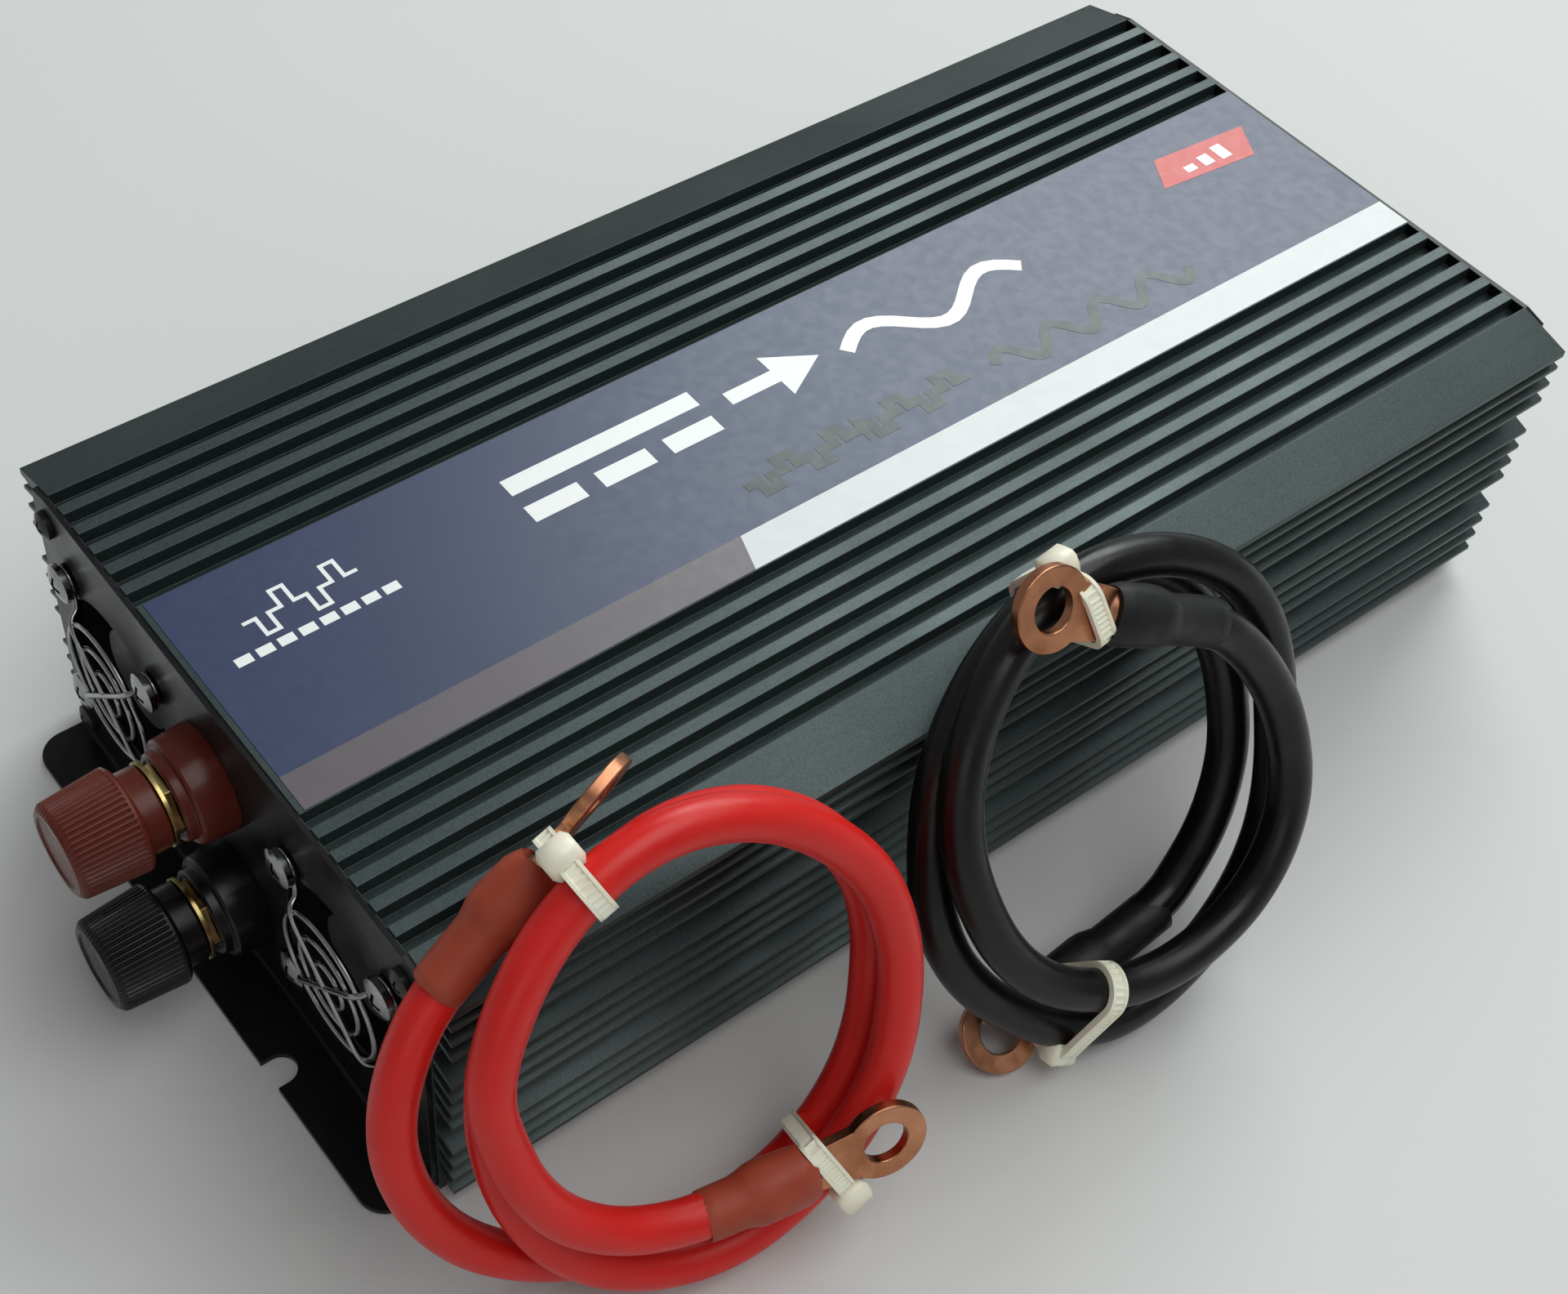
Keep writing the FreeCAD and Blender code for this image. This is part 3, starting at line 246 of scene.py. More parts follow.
def bright_finish():
    finish = Finish("bright_finish", (0.36, 0.36, 0.37), 0.16, 1.0)
    finish.soften(0.12 * MM)
    finish.tint(finish.noise(320.0, 5.0), (0.22, 0.22, 0.22), 0.5)
    finish.wear(finish.noise(260.0, 5.0), 0.10, 0.28)
    return finish.bump(finish.noise(800.0, 3.0), 0.008 * MM).material


def zinc_finish():
    finish = Finish("zinc_finish", (0.55, 0.56, 0.57), 0.38, 1.0)
    finish.tint(finish.noise(350.0, 4.0), (0.38, 0.39, 0.41), 0.7)
    finish.wear(finish.noise(200.0, 3.0), 0.30, 0.48)
    return finish.bump(finish.noise(1200.0, 3.0), 0.01 * MM).material


def moulding_finish(name, colour, light, roughness):
    """Moulded plastic with a faint skin and a painted highlight along its edges."""
    finish = Finish(name, colour, roughness)
    finish.set(Specular_IOR_Level=0.3)
    finish.soften(0.25 * MM)
    finish.tint(finish.noise(80.0, 4.0), light, 0.35)
    # painted highlight: the lighter colour along sharp edges
    finish.edges(0.4 * MM, light, 0.6)
    finish.wear(finish.noise(160.0, 4.0), roughness - 0.08, roughness + 0.08)
    return finish.bump(finish.noise(1300.0, 2.0), 0.012 * MM).material


def board_finish():
    finish = Finish("board_finish", (0.016, 0.075, 0.034), 0.30)
    tracks = finish.noise(420.0, 0.0, (0.3, 1.0, 1.0))
    finish.tint(tracks, (0.035, 0.13, 0.055), 0.9)
    finish.wear(finish.noise(300.0), 0.24, 0.40)
    return finish.bump(tracks, 0.03 * MM).material


def winding_finish():
    finish = Finish("winding_finish", (0.55, 0.24, 0.10), 0.30, 0.8)
    wires = finish.noise(900.0, 0.0, (0.05, 0.05, 1.0))
    finish.tint(wires, (0.24, 0.09, 0.04), 0.9)
    finish.wear(finish.noise(200.0), 0.25, 0.40)
    return finish.bump(wires, 0.2 * MM).material


def floor_finish():
    finish = Finish("floor_finish", (0.66, 0.66, 0.65), 0.70)
    finish.tint(finish.noise(3.0, 2.0), (0.69, 0.69, 0.68), 0.5)
    return finish.bump(finish.noise(900.0, 2.0), 0.01 * MM).material


CASE = case_finish()
PANEL = panel_finish()
BLACK_SCREW = moulding_finish("screw_black_finish", (0.012, 0.012, 0.012), (0.05, 0.05, 0.05), 0.32)
BLACK_PLASTIC = moulding_finish("plastic_black_finish", (0.012, 0.012, 0.013), (0.035, 0.035, 0.036), 0.42)
RED_MOULDING = moulding_finish("moulding_red_finish", (0.090, 0.013, 0.007), (0.17, 0.036, 0.020), 0.30)
BLACK_MOULDING = moulding_finish("moulding_black_finish", (0.004, 0.004, 0.004), (0.014, 0.014, 0.013), 0.30)
COMPONENT = moulding_finish("component_finish", (0.02, 0.02, 0.024), (0.05, 0.05, 0.06), 0.40)
FERRITE = moulding_finish("ferrite_finish", (0.035, 0.035, 0.038), (0.07, 0.07, 0.07), 0.65)
FUSE = moulding_finish("fuse_finish", (0.55, 0.17, 0.02), (0.75, 0.30, 0.06), 0.25)
LAMP = moulding_finish("lamp_finish", (0.04, 0.40, 0.08), (0.15, 0.60, 0.20), 0.12)
LABEL_BLUE = film_finish("label_blue_finish", (0.030, 0.042, 0.105))
LABEL_GREY = film_finish("label_grey_finish", (0.115, 0.098, 0.112))
LABEL_PALE = film_finish("label_pale_finish", (0.64, 0.67, 0.67))
LABEL_WHITE = film_finish("label_white_finish", (0.86, 0.87, 0.86))
LABEL_DARK = film_finish("label_dark_finish", (0.022, 0.026, 0.030))
LABEL_RED = film_finish("label_red_finish", (0.60, 0.045, 0.040))
RED_CABLE = cable_finish("cable_red_finish", (0.68, 0.016, 0.012), (0.54, 0.014, 0.011), 0.36)
BLACK_CABLE = cable_finish("cable_black_finish", (0.004, 0.004, 0.004), (0.008, 0.008, 0.007), 0.32)
RED_SHRINK = shrink_finish("shrink_red_finish", (0.32, 0.046, 0.021), (0.40, 0.072, 0.037))
BLACK_SHRINK = shrink_finish("shrink_black_finish", (0.006, 0.006, 0.006), (0.014, 0.014, 0.014))
NYLON = nylon_finish()
COPPER = copper_finish()
BRASS = brass_finish()
BRIGHT = bright_finish()
ZINC = zinc_finish()
BOARD = board_finish()
WINDING = winding_finish()


# ---------------------------------------------------------- mesh helpers

def piece(name, data, material, body, replaced=()):
    """A finished object from mesh or curve data, on its body."""
    made = bpy.data.objects.new(name, data)
    bpy.context.scene.collection.objects.link(made)
    data.materials.append(material)
    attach(made, body)
    if replaced:
        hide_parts(*replaced)
    return made


SMOOTH_DEGREES = 35.0


def mesh_from(name, vertices, faces, smooth_degrees=SMOOTH_DEGREES):
    mesh = bpy.data.meshes.new(name)
    mesh.from_pydata([tuple(v) for v in vertices], [], faces)
    shape = bmesh.new()
    shape.from_mesh(mesh)
    bmesh.ops.recalc_face_normals(shape, faces=shape.faces)
    limit = math.radians(smooth_degrees)
    for face in shape.faces:
        face.smooth = True
    for edge in shape.edges:
        edge.smooth = len(edge.link_faces) == 2 and edge.calc_face_angle() < limit
    shape.to_mesh(mesh)
    shape.free()
    return mesh


def rounded(made, width):
    """Rounds a piece's sharp edges in its geometry."""
    bevel = made.modifiers.new("rounding", "BEVEL")
    bevel.width = width
    bevel.segments = 2
    bevel.limit_method = "ANGLE"
    bevel.angle_limit = math.radians(SMOOTH_DEGREES)
    bevel.harden_normals = True
    return made


class Shapes:
    """Collects vertices and faces of several simple solids for one mesh."""

    def __init__(self):
        self.vertices = []
        self.faces = []

    def prism(self, bottom, top):
        """A solid between two outlines with the same number of corners."""
        start = len(self.vertices)
        count = len(bottom)
        self.vertices += list(bottom) + list(top)
        self.faces.append([start + i for i in range(count)][::-1])
        self.faces.append([start + count + i for i in range(count)])
        self.skin(start, count, 1)

    def skin(self, start, count, steps):
        """Quads between rings of count corners that follow each other."""
        for step in range(steps):
            for i in range(count):
                a = start + step * count + i
                b = start + step * count + (i + 1) % count
                self.faces.append([a, b, b + count, a + count])

    def tube(self, rings):
        """Rings of corners in order, closed with a face at both ends."""
        start = len(self.vertices)
        count = len(rings[0])
        for ring in rings:
            self.vertices += list(ring)
        self.skin(start, count, len(rings) - 1)
        self.faces.append([start + i for i in range(count)][::-1])
        last = start + (len(rings) - 1) * count
        self.faces.append([last + i for i in range(count)])

    def loop(self, rings):
        """Rings of corners in order, the last joined to the first."""
        start = len(self.vertices)
        count = len(rings[0])
        for ring in rings:
            self.vertices += list(ring)
        total = len(rings) * count
        for step in range(len(rings)):
            for i in range(count):
                a = step * count + i
                b = step * count + (i + 1) % count
                self.faces.append([start + k % total for k in (a, b, b + count, a + count)])


# ------------------------------------------------------------------ leads

CABLE_RADIUS = 4.1 * MM
LUG_RADIUS = 7.9 * MM
LUG_HOLE = 4.2 * MM
LUG_THICKNESS = 2.2 * MM
LUG_LENGTH = 25.0 * MM
SLEEVE_START = 13.0 * MM
SLEEVE_RADIUS = 5.7 * MM
SLEEVE_CABLE_RADIUS = 4.7 * MM
TIE_WIDTH = 3.6 * MM
TIE_THICKNESS = 1.3 * MM
TIE_HEAD = 5.2 * MM
TIE_HEAD_WIDTH = 6.4 * MM
COIL_STEP = 15

# the turns of each coil: (turned so far in degrees, radius in its plane in mm, height out of it in mm)
RED_TURNS = [
    (149, 48.9, -7.2), (157, 50.9, -7.0), (166, 52.6, -6.8), (176, 54.9, -6.5), (190, 55.8, -6.3),
    (205, 55.3, -6.2), (217, 54.0, -6.0), (228, 52.4, -6.4), (240, 51.2, -7.0), (268, 48.3, -7.2),
    (282, 48.0, -7.5), (302, 44.3, -7.5), (339, 37.2, -7.5), (351, 36.2, -7.3), (372, 36.5, -7.0),
    (405, 37.5, -6.0), (430, 39.2, -5.2), (450, 40.5, -3.8), (480, 39.6, -1.7), (506, 38.4, -1.0),
    (528, 39.0, -1.3), (544, 40.4, -1.4), (557, 41.5, -1.2), (574, 44.3, -0.5), (590, 47.2, 0.6),
    (610, 48.2, 1.6), (619, 48.7, 1.7), (628, 47.8, 2.0), (649, 44.0, 2.0), (676, 40.2, 2.0),
    (702, 36.5, 2.0), (730, 35.9, 2.0), (765, 38.4, 2.5), (786, 41.2, 3.0), (799, 44.1, 3.5),
    (818, 46.3, 3.5), (841, 46.0, 5.0), (863, 44.0, 6.0), (883, 43.4, 6.5), (901, 40.1, 6.5),
    (922, 38.8, 6.5), (933, 38.2, 6.5), (948, 36.7, 6.5), (962, 35.3, 6.5), (975, 34.2, 6.5),
]
BLACK_TURNS = [
    (64, 36.4, 8.5), (42, 33.3, 7.5), (22, 32.3, 7.0), (2, 32.5, 6.5), (-25, 34.5, 6.0),
    (-50, 35.6, 5.5), (-74, 35.1, 5.5), (-115, 36.1, 5.5), (-145, 37.4, 5.5), (-173, 38.4, 5.5),
    (-194, 41.7, 5.5), (-216, 45.6, 5.0), (-234, 47.9, 4.5), (-250, 48.7, 2.4), (-262, 48.7, 1.0),
    (-285, 47.2, 0.3), (-312, 45.0, -0.5), (-335, 41.0, -1.5), (-352, 37.5, -2.0), (-366, 36.8, -2.0),
    (-379, 37.4, -2.0), (-403, 40.1, -2.2), (-424, 42.5, -2.5), (-441, 44.9, -2.5), (-454, 47.4, -2.5),
    (-466, 49.0, -2.5), (-478, 47.4, -2.5), (-492, 45.8, -2.5), (-526, 44.8, -2.5), (-550, 43.0, -2.6),
    (-589, 43.1, -4.0), (-615, 43.5, -6.5), (-630, 43.0, -8.0), (-650, 41.0, -10.0), (-680, 37.5, -10.5),
    (-698, 34.8, -10.5), (-714, 33.3, -11.0), (-744, 33.0, -11.0), (-774, 34.4, -11.5), (-793, 37.0, -11.5),
]


class Lie:
    """The plane that a coiled lead leans in: across is level, up climbs it, toward faces out of it."""

    def __init__(self, centre, toward):
        self.centre = Vector(centre) * MM
        self.toward = Vector(toward).normalized()
        self.across = Vector((0, 0, 1)).cross(self.toward).normalized()
        self.up = self.toward.cross(self.across)

    def at(self, across, up, toward):
        return self.centre + (self.across * across + self.up * up + self.toward * toward) * MM

    def polar(self, degrees, radius, toward):
        angle = math.radians(degrees)
        return self.at(radius * math.cos(angle), radius * math.sin(angle), toward)

    def radial(self, degrees):
        angle = math.radians(degrees)
        return self.across * math.cos(angle) + self.up * math.sin(angle)


RED_LIE = Lie((-100.1, -91.5, 52.5), (-0.14, -0.933, 0.33))
BLACK_LIE = Lie((-6.0, -96.0, 49.1), (-0.09, -0.888, 0.451))


def station(turns, degrees):
    """Radius and depth of the coil after it has turned this far."""
    for (turn0, radius0, depth0), (turn1, radius1, depth1) in zip(turns, turns[1:]):
        share = (degrees - turn0) / (turn1 - turn0)
        if 0 <= share <= 1:
            return radius0 + share * (radius1 - radius0), depth0 + share * (depth1 - depth0)
    return turns[-1][1:]


def coil_route(lie, turns, ring_places):
    """Control points of one lead's line: out of the first lug, round the turns, into the last lug."""
    first, last = lie.polar(*turns[0]), lie.polar(*turns[-1])
    start = lie.at(*ring_places[0])
    end = lie.at(*ring_places[1])
    direction = 1 if turns[-1][0] > turns[0][0] else -1
    inside_barrel = LUG_LENGTH - 1 * MM
    points = [start + (first - start).normalized() * inside_barrel, first]
    degrees = turns[0][0] + direction * COIL_STEP
    while direction * (turns[-1][0] - degrees) > COIL_STEP / 2:
        points.append(lie.polar(degrees, *station(turns, degrees)))
        degrees += direction * COIL_STEP
    return points + [last, end + (last - end).normalized() * inside_barrel]


def make_cable(name, route, material):
    body = name + "_lead"
    curve = bpy.data.curves.new(name, "CURVE")
    curve.dimensions = "3D"
    spline = curve.splines.new("NURBS")
    spline.points.add(len(route) - 1)
    for point, place in zip(spline.points, route):
        point.co = (*place, 1.0)
    spline.order_u = 3
    spline.use_endpoint_u = True
    spline.resolution_u = 10
    curve.bevel_depth = CABLE_RADIUS
    curve.bevel_resolution = 8
    curve.use_fill_caps = True
    return piece(body + "_cable", curve, material, body, [body + "_coil"])


def end_axes(ring, cable_start, normal):
    """X along the lug towards its cable, Z square to the ring's flat."""
    x = (cable_start - ring).normalized()
    z = (normal - x * x.dot(normal)).normalized()
    return Matrix((x, z.cross(x), z)).transposed().to_4x4()


def make_lug(name, body, ring, axes):
    """Ring with its hole, neck and flattened barrel, as one bevelled plate that widens into a tube."""
    outer, inner = [], []
    steps = 40
    mouth_steps = 5
    barrel_sides = 24
    neck = 4.6 * MM
    tongue = SLEEVE_START + 1 * MM
    open_angle = math.asin(neck / LUG_RADIUS)
    for step in range(steps + 1):
        angle = open_angle + (2 * math.pi - 2 * open_angle) * step / steps
        outer.append((LUG_RADIUS * math.cos(angle), LUG_RADIUS * math.sin(angle)))
        inner.append((LUG_HOLE * math.cos(angle), LUG_HOLE * math.sin(angle)))
    for step in range(1, mouth_steps):
        y = -neck + 2 * neck * step / mouth_steps
        outer.append((tongue, y))
        angle = -open_angle + 2 * open_angle * step / mouth_steps
        inner.append((LUG_HOLE * math.cos(angle), LUG_HOLE * math.sin(angle)))
    outer[0] = (tongue, neck)
    outer[steps] = (tongue, -neck)
    half = LUG_THICKNESS / 2
    rings = [
        [(x, y, -half) for x, y in outer], [(x, y, half) for x, y in outer],
        [(x, y, half) for x, y in inner], [(x, y, -half) for x, y in inner],
    ]
    shapes = Shapes()
    shapes.loop(rings)
    barrel = []
    swelling = ((-0.5 * MM, 0.25), (2 * MM, 0.7), (5 * MM, 1.0), (LUG_LENGTH - SLEEVE_START, 1.0))
    for step, squash in swelling:
        x = SLEEVE_START + step
        barrel.append([
            (x, CABLE_RADIUS * (1.25 - 0.25 * squash) * math.cos(a), CABLE_RADIUS * squash * math.sin(a))
            for a in (2 * math.pi * i / barrel_sides for i in range(barrel_sides))
        ])
    shapes.tube(barrel)
    matrix = Matrix.Translation(ring) @ axes
    mesh = mesh_from(name, [matrix @ Vector(v) for v in shapes.vertices], shapes.faces)
    lug = piece(name, mesh, COPPER, body, [name.replace("_copper", "_lug")])
    return rounded(lug, 0.3 * MM)


def make_sleeve(name, body, ring, axes, end, material):
    """Shrunk tube: full over the barrel, with a soft step down to the cable and slightly uneven ends."""
    stations = [
        (SLEEVE_START + 0.9 * MM, 4.7 * MM), (SLEEVE_START + 0.6 * MM, 5.0 * MM),
        (SLEEVE_START + 1.6 * MM, 5.4 * MM), (SLEEVE_START + 3.4 * MM, SLEEVE_RADIUS),
        (LUG_LENGTH - 2 * MM, SLEEVE_RADIUS), (LUG_LENGTH, 5.55 * MM),
        (LUG_LENGTH + 1.5 * MM, 5.1 * MM), (LUG_LENGTH + 3 * MM, SLEEVE_CABLE_RADIUS),
        (end - 2 * MM, SLEEVE_CABLE_RADIUS), (end, 4.6 * MM), (end + 0.2 * MM, 4.45 * MM),
        (end, CABLE_RADIUS),
    ]
    rings = []
    count = 40
    pinch, pinch_length = 0.35, 6 * MM
    for x, radius in stations:
        corners = []
        for i in range(count):
            angle = 2 * math.pi * i / count
            nearness = max(0.0, 1 - abs(x - SLEEVE_START) / pinch_length)
            flat = 1.0 - pinch * nearness * abs(math.sin(angle))
            wave = 1.0 + 0.012 * math.sin(3 * angle + 400 * x) + 0.008 * math.sin(7 * angle - 900 * x)
            corners.append((x, radius * wave * math.cos(angle), radius * wave * flat * math.sin(angle)))
        rings.append(corners)
    shapes = Shapes()
    shapes.tube(rings)
    matrix = Matrix.Translation(ring) @ axes
    mesh = mesh_from(name, [matrix @ Vector(v) for v in shapes.vertices], shapes.faces, 70.0)
    return piece(name, mesh, material, body, [name.replace("_shrink", "_sleeve")])


def turn_of(a, b, c):
    return (b[0] - a[0]) * (c[1] - a[1]) - (b[1] - a[1]) * (c[0] - a[0])


def convex(points):
    """Corners of the convex outline round these points, counter-clockwise."""
    ordered = sorted(set(points))
    outline = []
    for chain in (ordered, ordered[::-1]):
        side = []
        for point in chain:
            while len(side) > 1 and turn_of(side[-2], side[-1], point) <= 1e-9:
                side.pop()
            side.append(point)
        outline += side[:-1]
    return outline


def even_outline(points, spacing):
    """The same closed outline with corners a given distance apart."""
    closed = points + points[:1]
    lengths = [math.dist(a, b) for a, b in zip(closed, closed[1:])]
    count = int(sum(lengths) / spacing)
    walk = sum(lengths) / count
    result = []
    edge, done = 0, 0.0
    for step in range(count):
        goal = step * walk
        while done + lengths[edge] < goal:
            done += lengths[edge]
            edge += 1
        share = (goal - done) / lengths[edge]
        a, b = closed[edge], closed[edge + 1]
        result.append((a[0] + share * (b[0] - a[0]), a[1] + share * (b[1] - a[1])))
    return result


def make_tie(shapes, lie, degrees, circles, head):
    """A ratchet strap pulled tight round the strands: ridged band and head."""
    points = []
    sides = 48
    ridge_spacing, ridge_depth = 0.35, 0.4
    for radius, depth, reach in circles:
        for step in range(sides):
            angle = 2 * math.pi * step / sides
            points.append((radius + reach * math.cos(angle), depth + reach * math.sin(angle)))
    outline = even_outline(convex(points), ridge_spacing)
    count = len(outline)
    sideways = lie.toward.cross(lie.radial(degrees))
    half = TIE_WIDTH / 2
    rings = []
    for i, (radius, depth) in enumerate(outline):
        before, after = outline[i - 1], outline[(i + 1) % count]
        along = Vector((after[0] - before[0], after[1] - before[1])).normalized()
        outward = Vector((along.y, -along.x))
        thick = TIE_THICKNESS / MM
        ridge = thick - (ridge_depth if i % 3 else 0.0)
        lifts = ((0.0, -half), (thick, -half), (thick, -half * 0.66), (ridge, -half * 0.6),
                 (ridge, half * 0.6), (thick, half * 0.66), (thick, half), (0.0, half))
        rings.append([
            lie.polar(degrees, radius + outward.x * lift, depth + outward.y * lift) + sideways * side
            for lift, side in lifts
        ])
    shapes.loop(rings)
    tie_head(shapes, lie, degrees, head, sideways)


def tie_head(shapes, lie, degrees, head, sideways):
    centre = lie.polar(degrees, *head)
    out, deep = lie.radial(degrees), lie.toward
    half, wide = TIE_HEAD / 2, TIE_HEAD_WIDTH / 2
    corner = 0.8 * MM
    rings = []
    for along, inset in ((-wide, corner), (-wide + corner, 0.0), (wide - corner, 0.0), (wide, corner)):
        reach = half - inset
        ring = []
        for sx, sy in ((1, -1), (1, 1), (-1, 1), (-1, -1)):
            for first in (True, False):
                swap = (sx * sy > 0) == first
                x = reach if swap else reach - corner
                y = reach - corner if swap else reach
                ring.append(centre + out * (sx * x) + deep * (sy * y) + sideways * along)
        rings.append(ring)
    shapes.tube(rings)


def make_lead(name, lie, turns, ends, ties, cable, shrink):
    body = name + "_lead"
    ring_places = [place for _, place, _ in ends]
    route = coil_route(lie, turns, ring_places)
    wire = make_cable(name, route, cable)
    for (end, place, normal), stop in zip(ends, (turns[0], turns[-1])):
        ring = lie.at(*place)
        sleeve_stop = lie.polar(*stop)
        axes = end_axes(ring, sleeve_stop, normal)
        reach = (sleeve_stop - ring).length
        make_lug(f"{body}_{end}_copper", body, ring, axes)
        make_sleeve(f"{body}_{end}_shrink", body, ring, axes, reach, shrink)
    shapes = Shapes()
    for tie in ties:
        make_tie(shapes, lie, *tie)
    mesh = mesh_from(body + "_nylon", shapes.vertices, shapes.faces, 50.0)
    piece(body + "_straps", mesh, NYLON, body, [body + "_ties"])


def make_leads():
    make_lead(
        "red", RED_LIE, RED_TURNS,
        [
            ("upper", (-10.6, 48.9, -7.2), RED_LIE.across * 0.87 + RED_LIE.toward * 0.5),
            ("lower", (25.4, -31.6, 9.8), RED_LIE.toward),
        ],
        [
            (114, [(46.2, 4.6, 4.2), (40.0, -2.0, 4.2), (43.5, -10.5, 1.3), (49.7, -3.9, 1.3)], (51.8, 1.9)),
            (294, [(45.9, -7.5, 4.2), (43.2, 2.0, 4.2), (39.8, 8.8, 1.3), (30.6, 8.8, 1.3)], (45.5, 8.5)),
        ],
        RED_CABLE, RED_SHRINK,
    )
    make_lead(
        "black", BLACK_LIE, BLACK_TURNS,
        [
            ("upper", (-19.5, 51.0, 11.5), BLACK_LIE.toward),
            ("lower", (-29.7, -43.2, -10.5), BLACK_LIE.toward * 0.89 + BLACK_LIE.up * 0.45),
        ],
        [
            (103, [(48.7, 1.6, 4.2), (43.5, -6.7, 4.2), (44.3, 9.9, 2.3), (50.9, 9.9, 2.3)], (55.5, 5.0)),
            (244, [(36.1, 5.5, 4.2), (48.0, -2.5, 4.2), (42.4, -12.8, 1.3), (49.8, -8.6, 1.3)], (51.5, -1.5)),
        ],
        BLACK_CABLE, BLACK_SHRINK,
    )


# ------------------------------------------------------------------ label

def ribbon(points, width):
    """Left and right edges of a line with thickness, mitred at its corners."""
    left, right = [], []
    for i, point in enumerate(points):
        here = Vector(point)
        before = Vector(points[max(i - 1, 0)])
        after = Vector(points[min(i + 1, len(points) - 1)])
        first = (here - before).normalized() if i else (after - here).normalized()
        second = (after - here).normalized() if i < len(points) - 1 else first
        middle = (first + second).normalized()
        square = Vector((-middle.y, middle.x)) * (width / 2 / max(0.3, middle.dot(first)))
        left.append(here + square)
        right.append(here - square)
    return left, right


def ribbon_shape(shapes, points, width, z0, z1):
    left, right = ribbon(points, width)
    rings = []
    for a, b in zip(left, right):
        rings.append([(a.x, a.y, z0), (a.x, a.y, z1), (b.x, b.y, z1), (b.x, b.y, z0)])
    shapes.tube(rings)


def flat_shape(shapes, outline, z0, z1):
    shapes.prism([(x, y, z0) for x, y in outline], [(x, y, z1) for x, y in outline])


def sine(x0, x1, y, height, periods):
    steps_per_period = 14
    count = int(periods * steps_per_period)
    return [
        (x0 + (x1 - x0) * i / count, y + height * math.sin(2 * math.pi * periods * i / count))
        for i in range(count + 1)
    ]


def stepped(x0, x1, y, height, levels):
    """The line of a stepped wave, which rests at each level for the same width."""
    points = []
    width = (x1 - x0) / len(levels)
    for step, level in enumerate(levels):
        x = x0 + step * width
        points += [(x, y + level * height), (x + width, y + level * height)]
    return points


def scaled(points):
    return [(x * MM, y * MM) for x, y in points]


def add_dashes(shapes, x, y, count, width, height, gap, z0, z1):
    """A row of bars, from its lower left corner (x, y)."""
    for step in range(count):
        left = x + step * (width + gap)
        bar = [(left, y), (left + width, y), (left + width, y + height), (left, y + height)]
        flat_shape(shapes, scaled(bar), z0, z1)


def label_piece(name, shapes, material, replaced=()):
    mesh = mesh_from(name, shapes.vertices, shapes.faces, 30.0)
    return piece(name, mesh, material, "housing", replaced)


FILM_THICKNESS = 0.12 * MM
INK_THICKNESS = 0.05 * MM


def make_label():
    """Fields of printed film with generic signs on them, all places in mm."""
    low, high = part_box("top_label")
    base = low.z
    film = base + FILM_THICKNESS
    ink = film + INK_THICKNESS
    x0, x1, y0, y1 = (value / MM for value in (low.x, high.x, low.y, high.y))
    strip_y = y0 + 8.2
    split = (-42.1, -39.3)
    blue, grey, pale = Shapes(), Shapes(), Shapes()
    flat_shape(blue, scaled([(x0, strip_y), (x1, strip_y), (x1, y1), (x0, y1)]), base, film)
    flat_shape(grey, scaled([(x0, y0), (split[0], y0), (split[1], strip_y), (x0, strip_y)]), base, film)
    flat_shape(pale, scaled([(split[0], y0), (x1, y0), (x1, strip_y), (split[1], strip_y)]), base, film)
    label_piece("label_blue_field", blue, LABEL_BLUE, ["top_label"])
    label_piece("label_grey_band", grey, LABEL_GREY)
    label_piece("label_pale_band", pale, LABEL_PALE)
    white, dark, red = Shapes(), Shapes(), Shapes()
    wave = (0, -1, 0, 1, 0, -1, 0, 1, 0)
    ribbon_shape(white, scaled(stepped(-125.4, -101.9, 13.4, 4.3, wave)), 0.8 * MM, film, ink)
    add_dashes(white, -130.8, 5.1, 8, 3.2, 2.1, 1.1, film, ink)
    add_dashes(white, -68.5, 12.8, 1, 44.0, 4.4, 0.0, film, ink)
    add_dashes(white, -68.5, 4.8, 3, 12.0, 4.4, 4.0, film, ink)
    arrow = [(-19, 9.2), (-7, 9.2), (-7, 4.8), (4, 11.0), (-7, 17.2), (-7, 12.8), (-19, 12.8)]
    flat_shape(white, scaled(arrow), film, ink)
    ribbon_shape(white, scaled(sine(9.5, 57, 8.6, 4.2, 1.5)), 3.2 * MM, film, ink)
    ribbon_shape(dark, scaled(stepped(-31, 25, -10.2, 2.9, wave * 2)), 2.2 * MM, film, ink)
    ribbon_shape(dark, scaled(sine(32, 87, -11.2, 3.2, 4)), 2.4 * MM, film, ink)
    flat_shape(red, scaled([(101.0, 10.1), (126.8, 7.8), (131.6, 16.7), (105.8, 18.6)]), film, ink)
    for bar in range(3):
        left = 109.5 + 5.0 * bar
        foot = 11.2 - 0.4 * bar
        top = foot + 2.0 + 1.3 * bar
        outline = [(left, foot), (left + 3, foot), (left + 3, top), (left, top)]
        flat_shape(white, scaled(outline), ink, ink + INK_THICKNESS)
    label_piece("label_white_signs", white, LABEL_WHITE)
    label_piece("label_dark_signs", dark, LABEL_DARK)
    label_piece("label_red_block", red, LABEL_RED)


# ---------------------------------------------------------- binding posts

def lathe_mesh(name, profile, y, z, segments, ribs=None):
    """A closed profile of (x, radius) turned about the X line through (y, z)."""
    shapes = Shapes()
    rings = []
    for step in range(segments):
        angle = 2 * math.pi * step / segments
        ring = []
        for x, radius, *depth in profile:
            reach = radius
            if depth:
                reach -= depth[0] * (0.5 + 0.5 * math.cos(ribs * angle)) ** 2
            ring.append((x, y + reach * math.cos(angle), z + reach * math.sin(angle)))
        rings.append(ring)
    shapes.loop(rings)
    return mesh_from(name, shapes.vertices, shapes.faces)


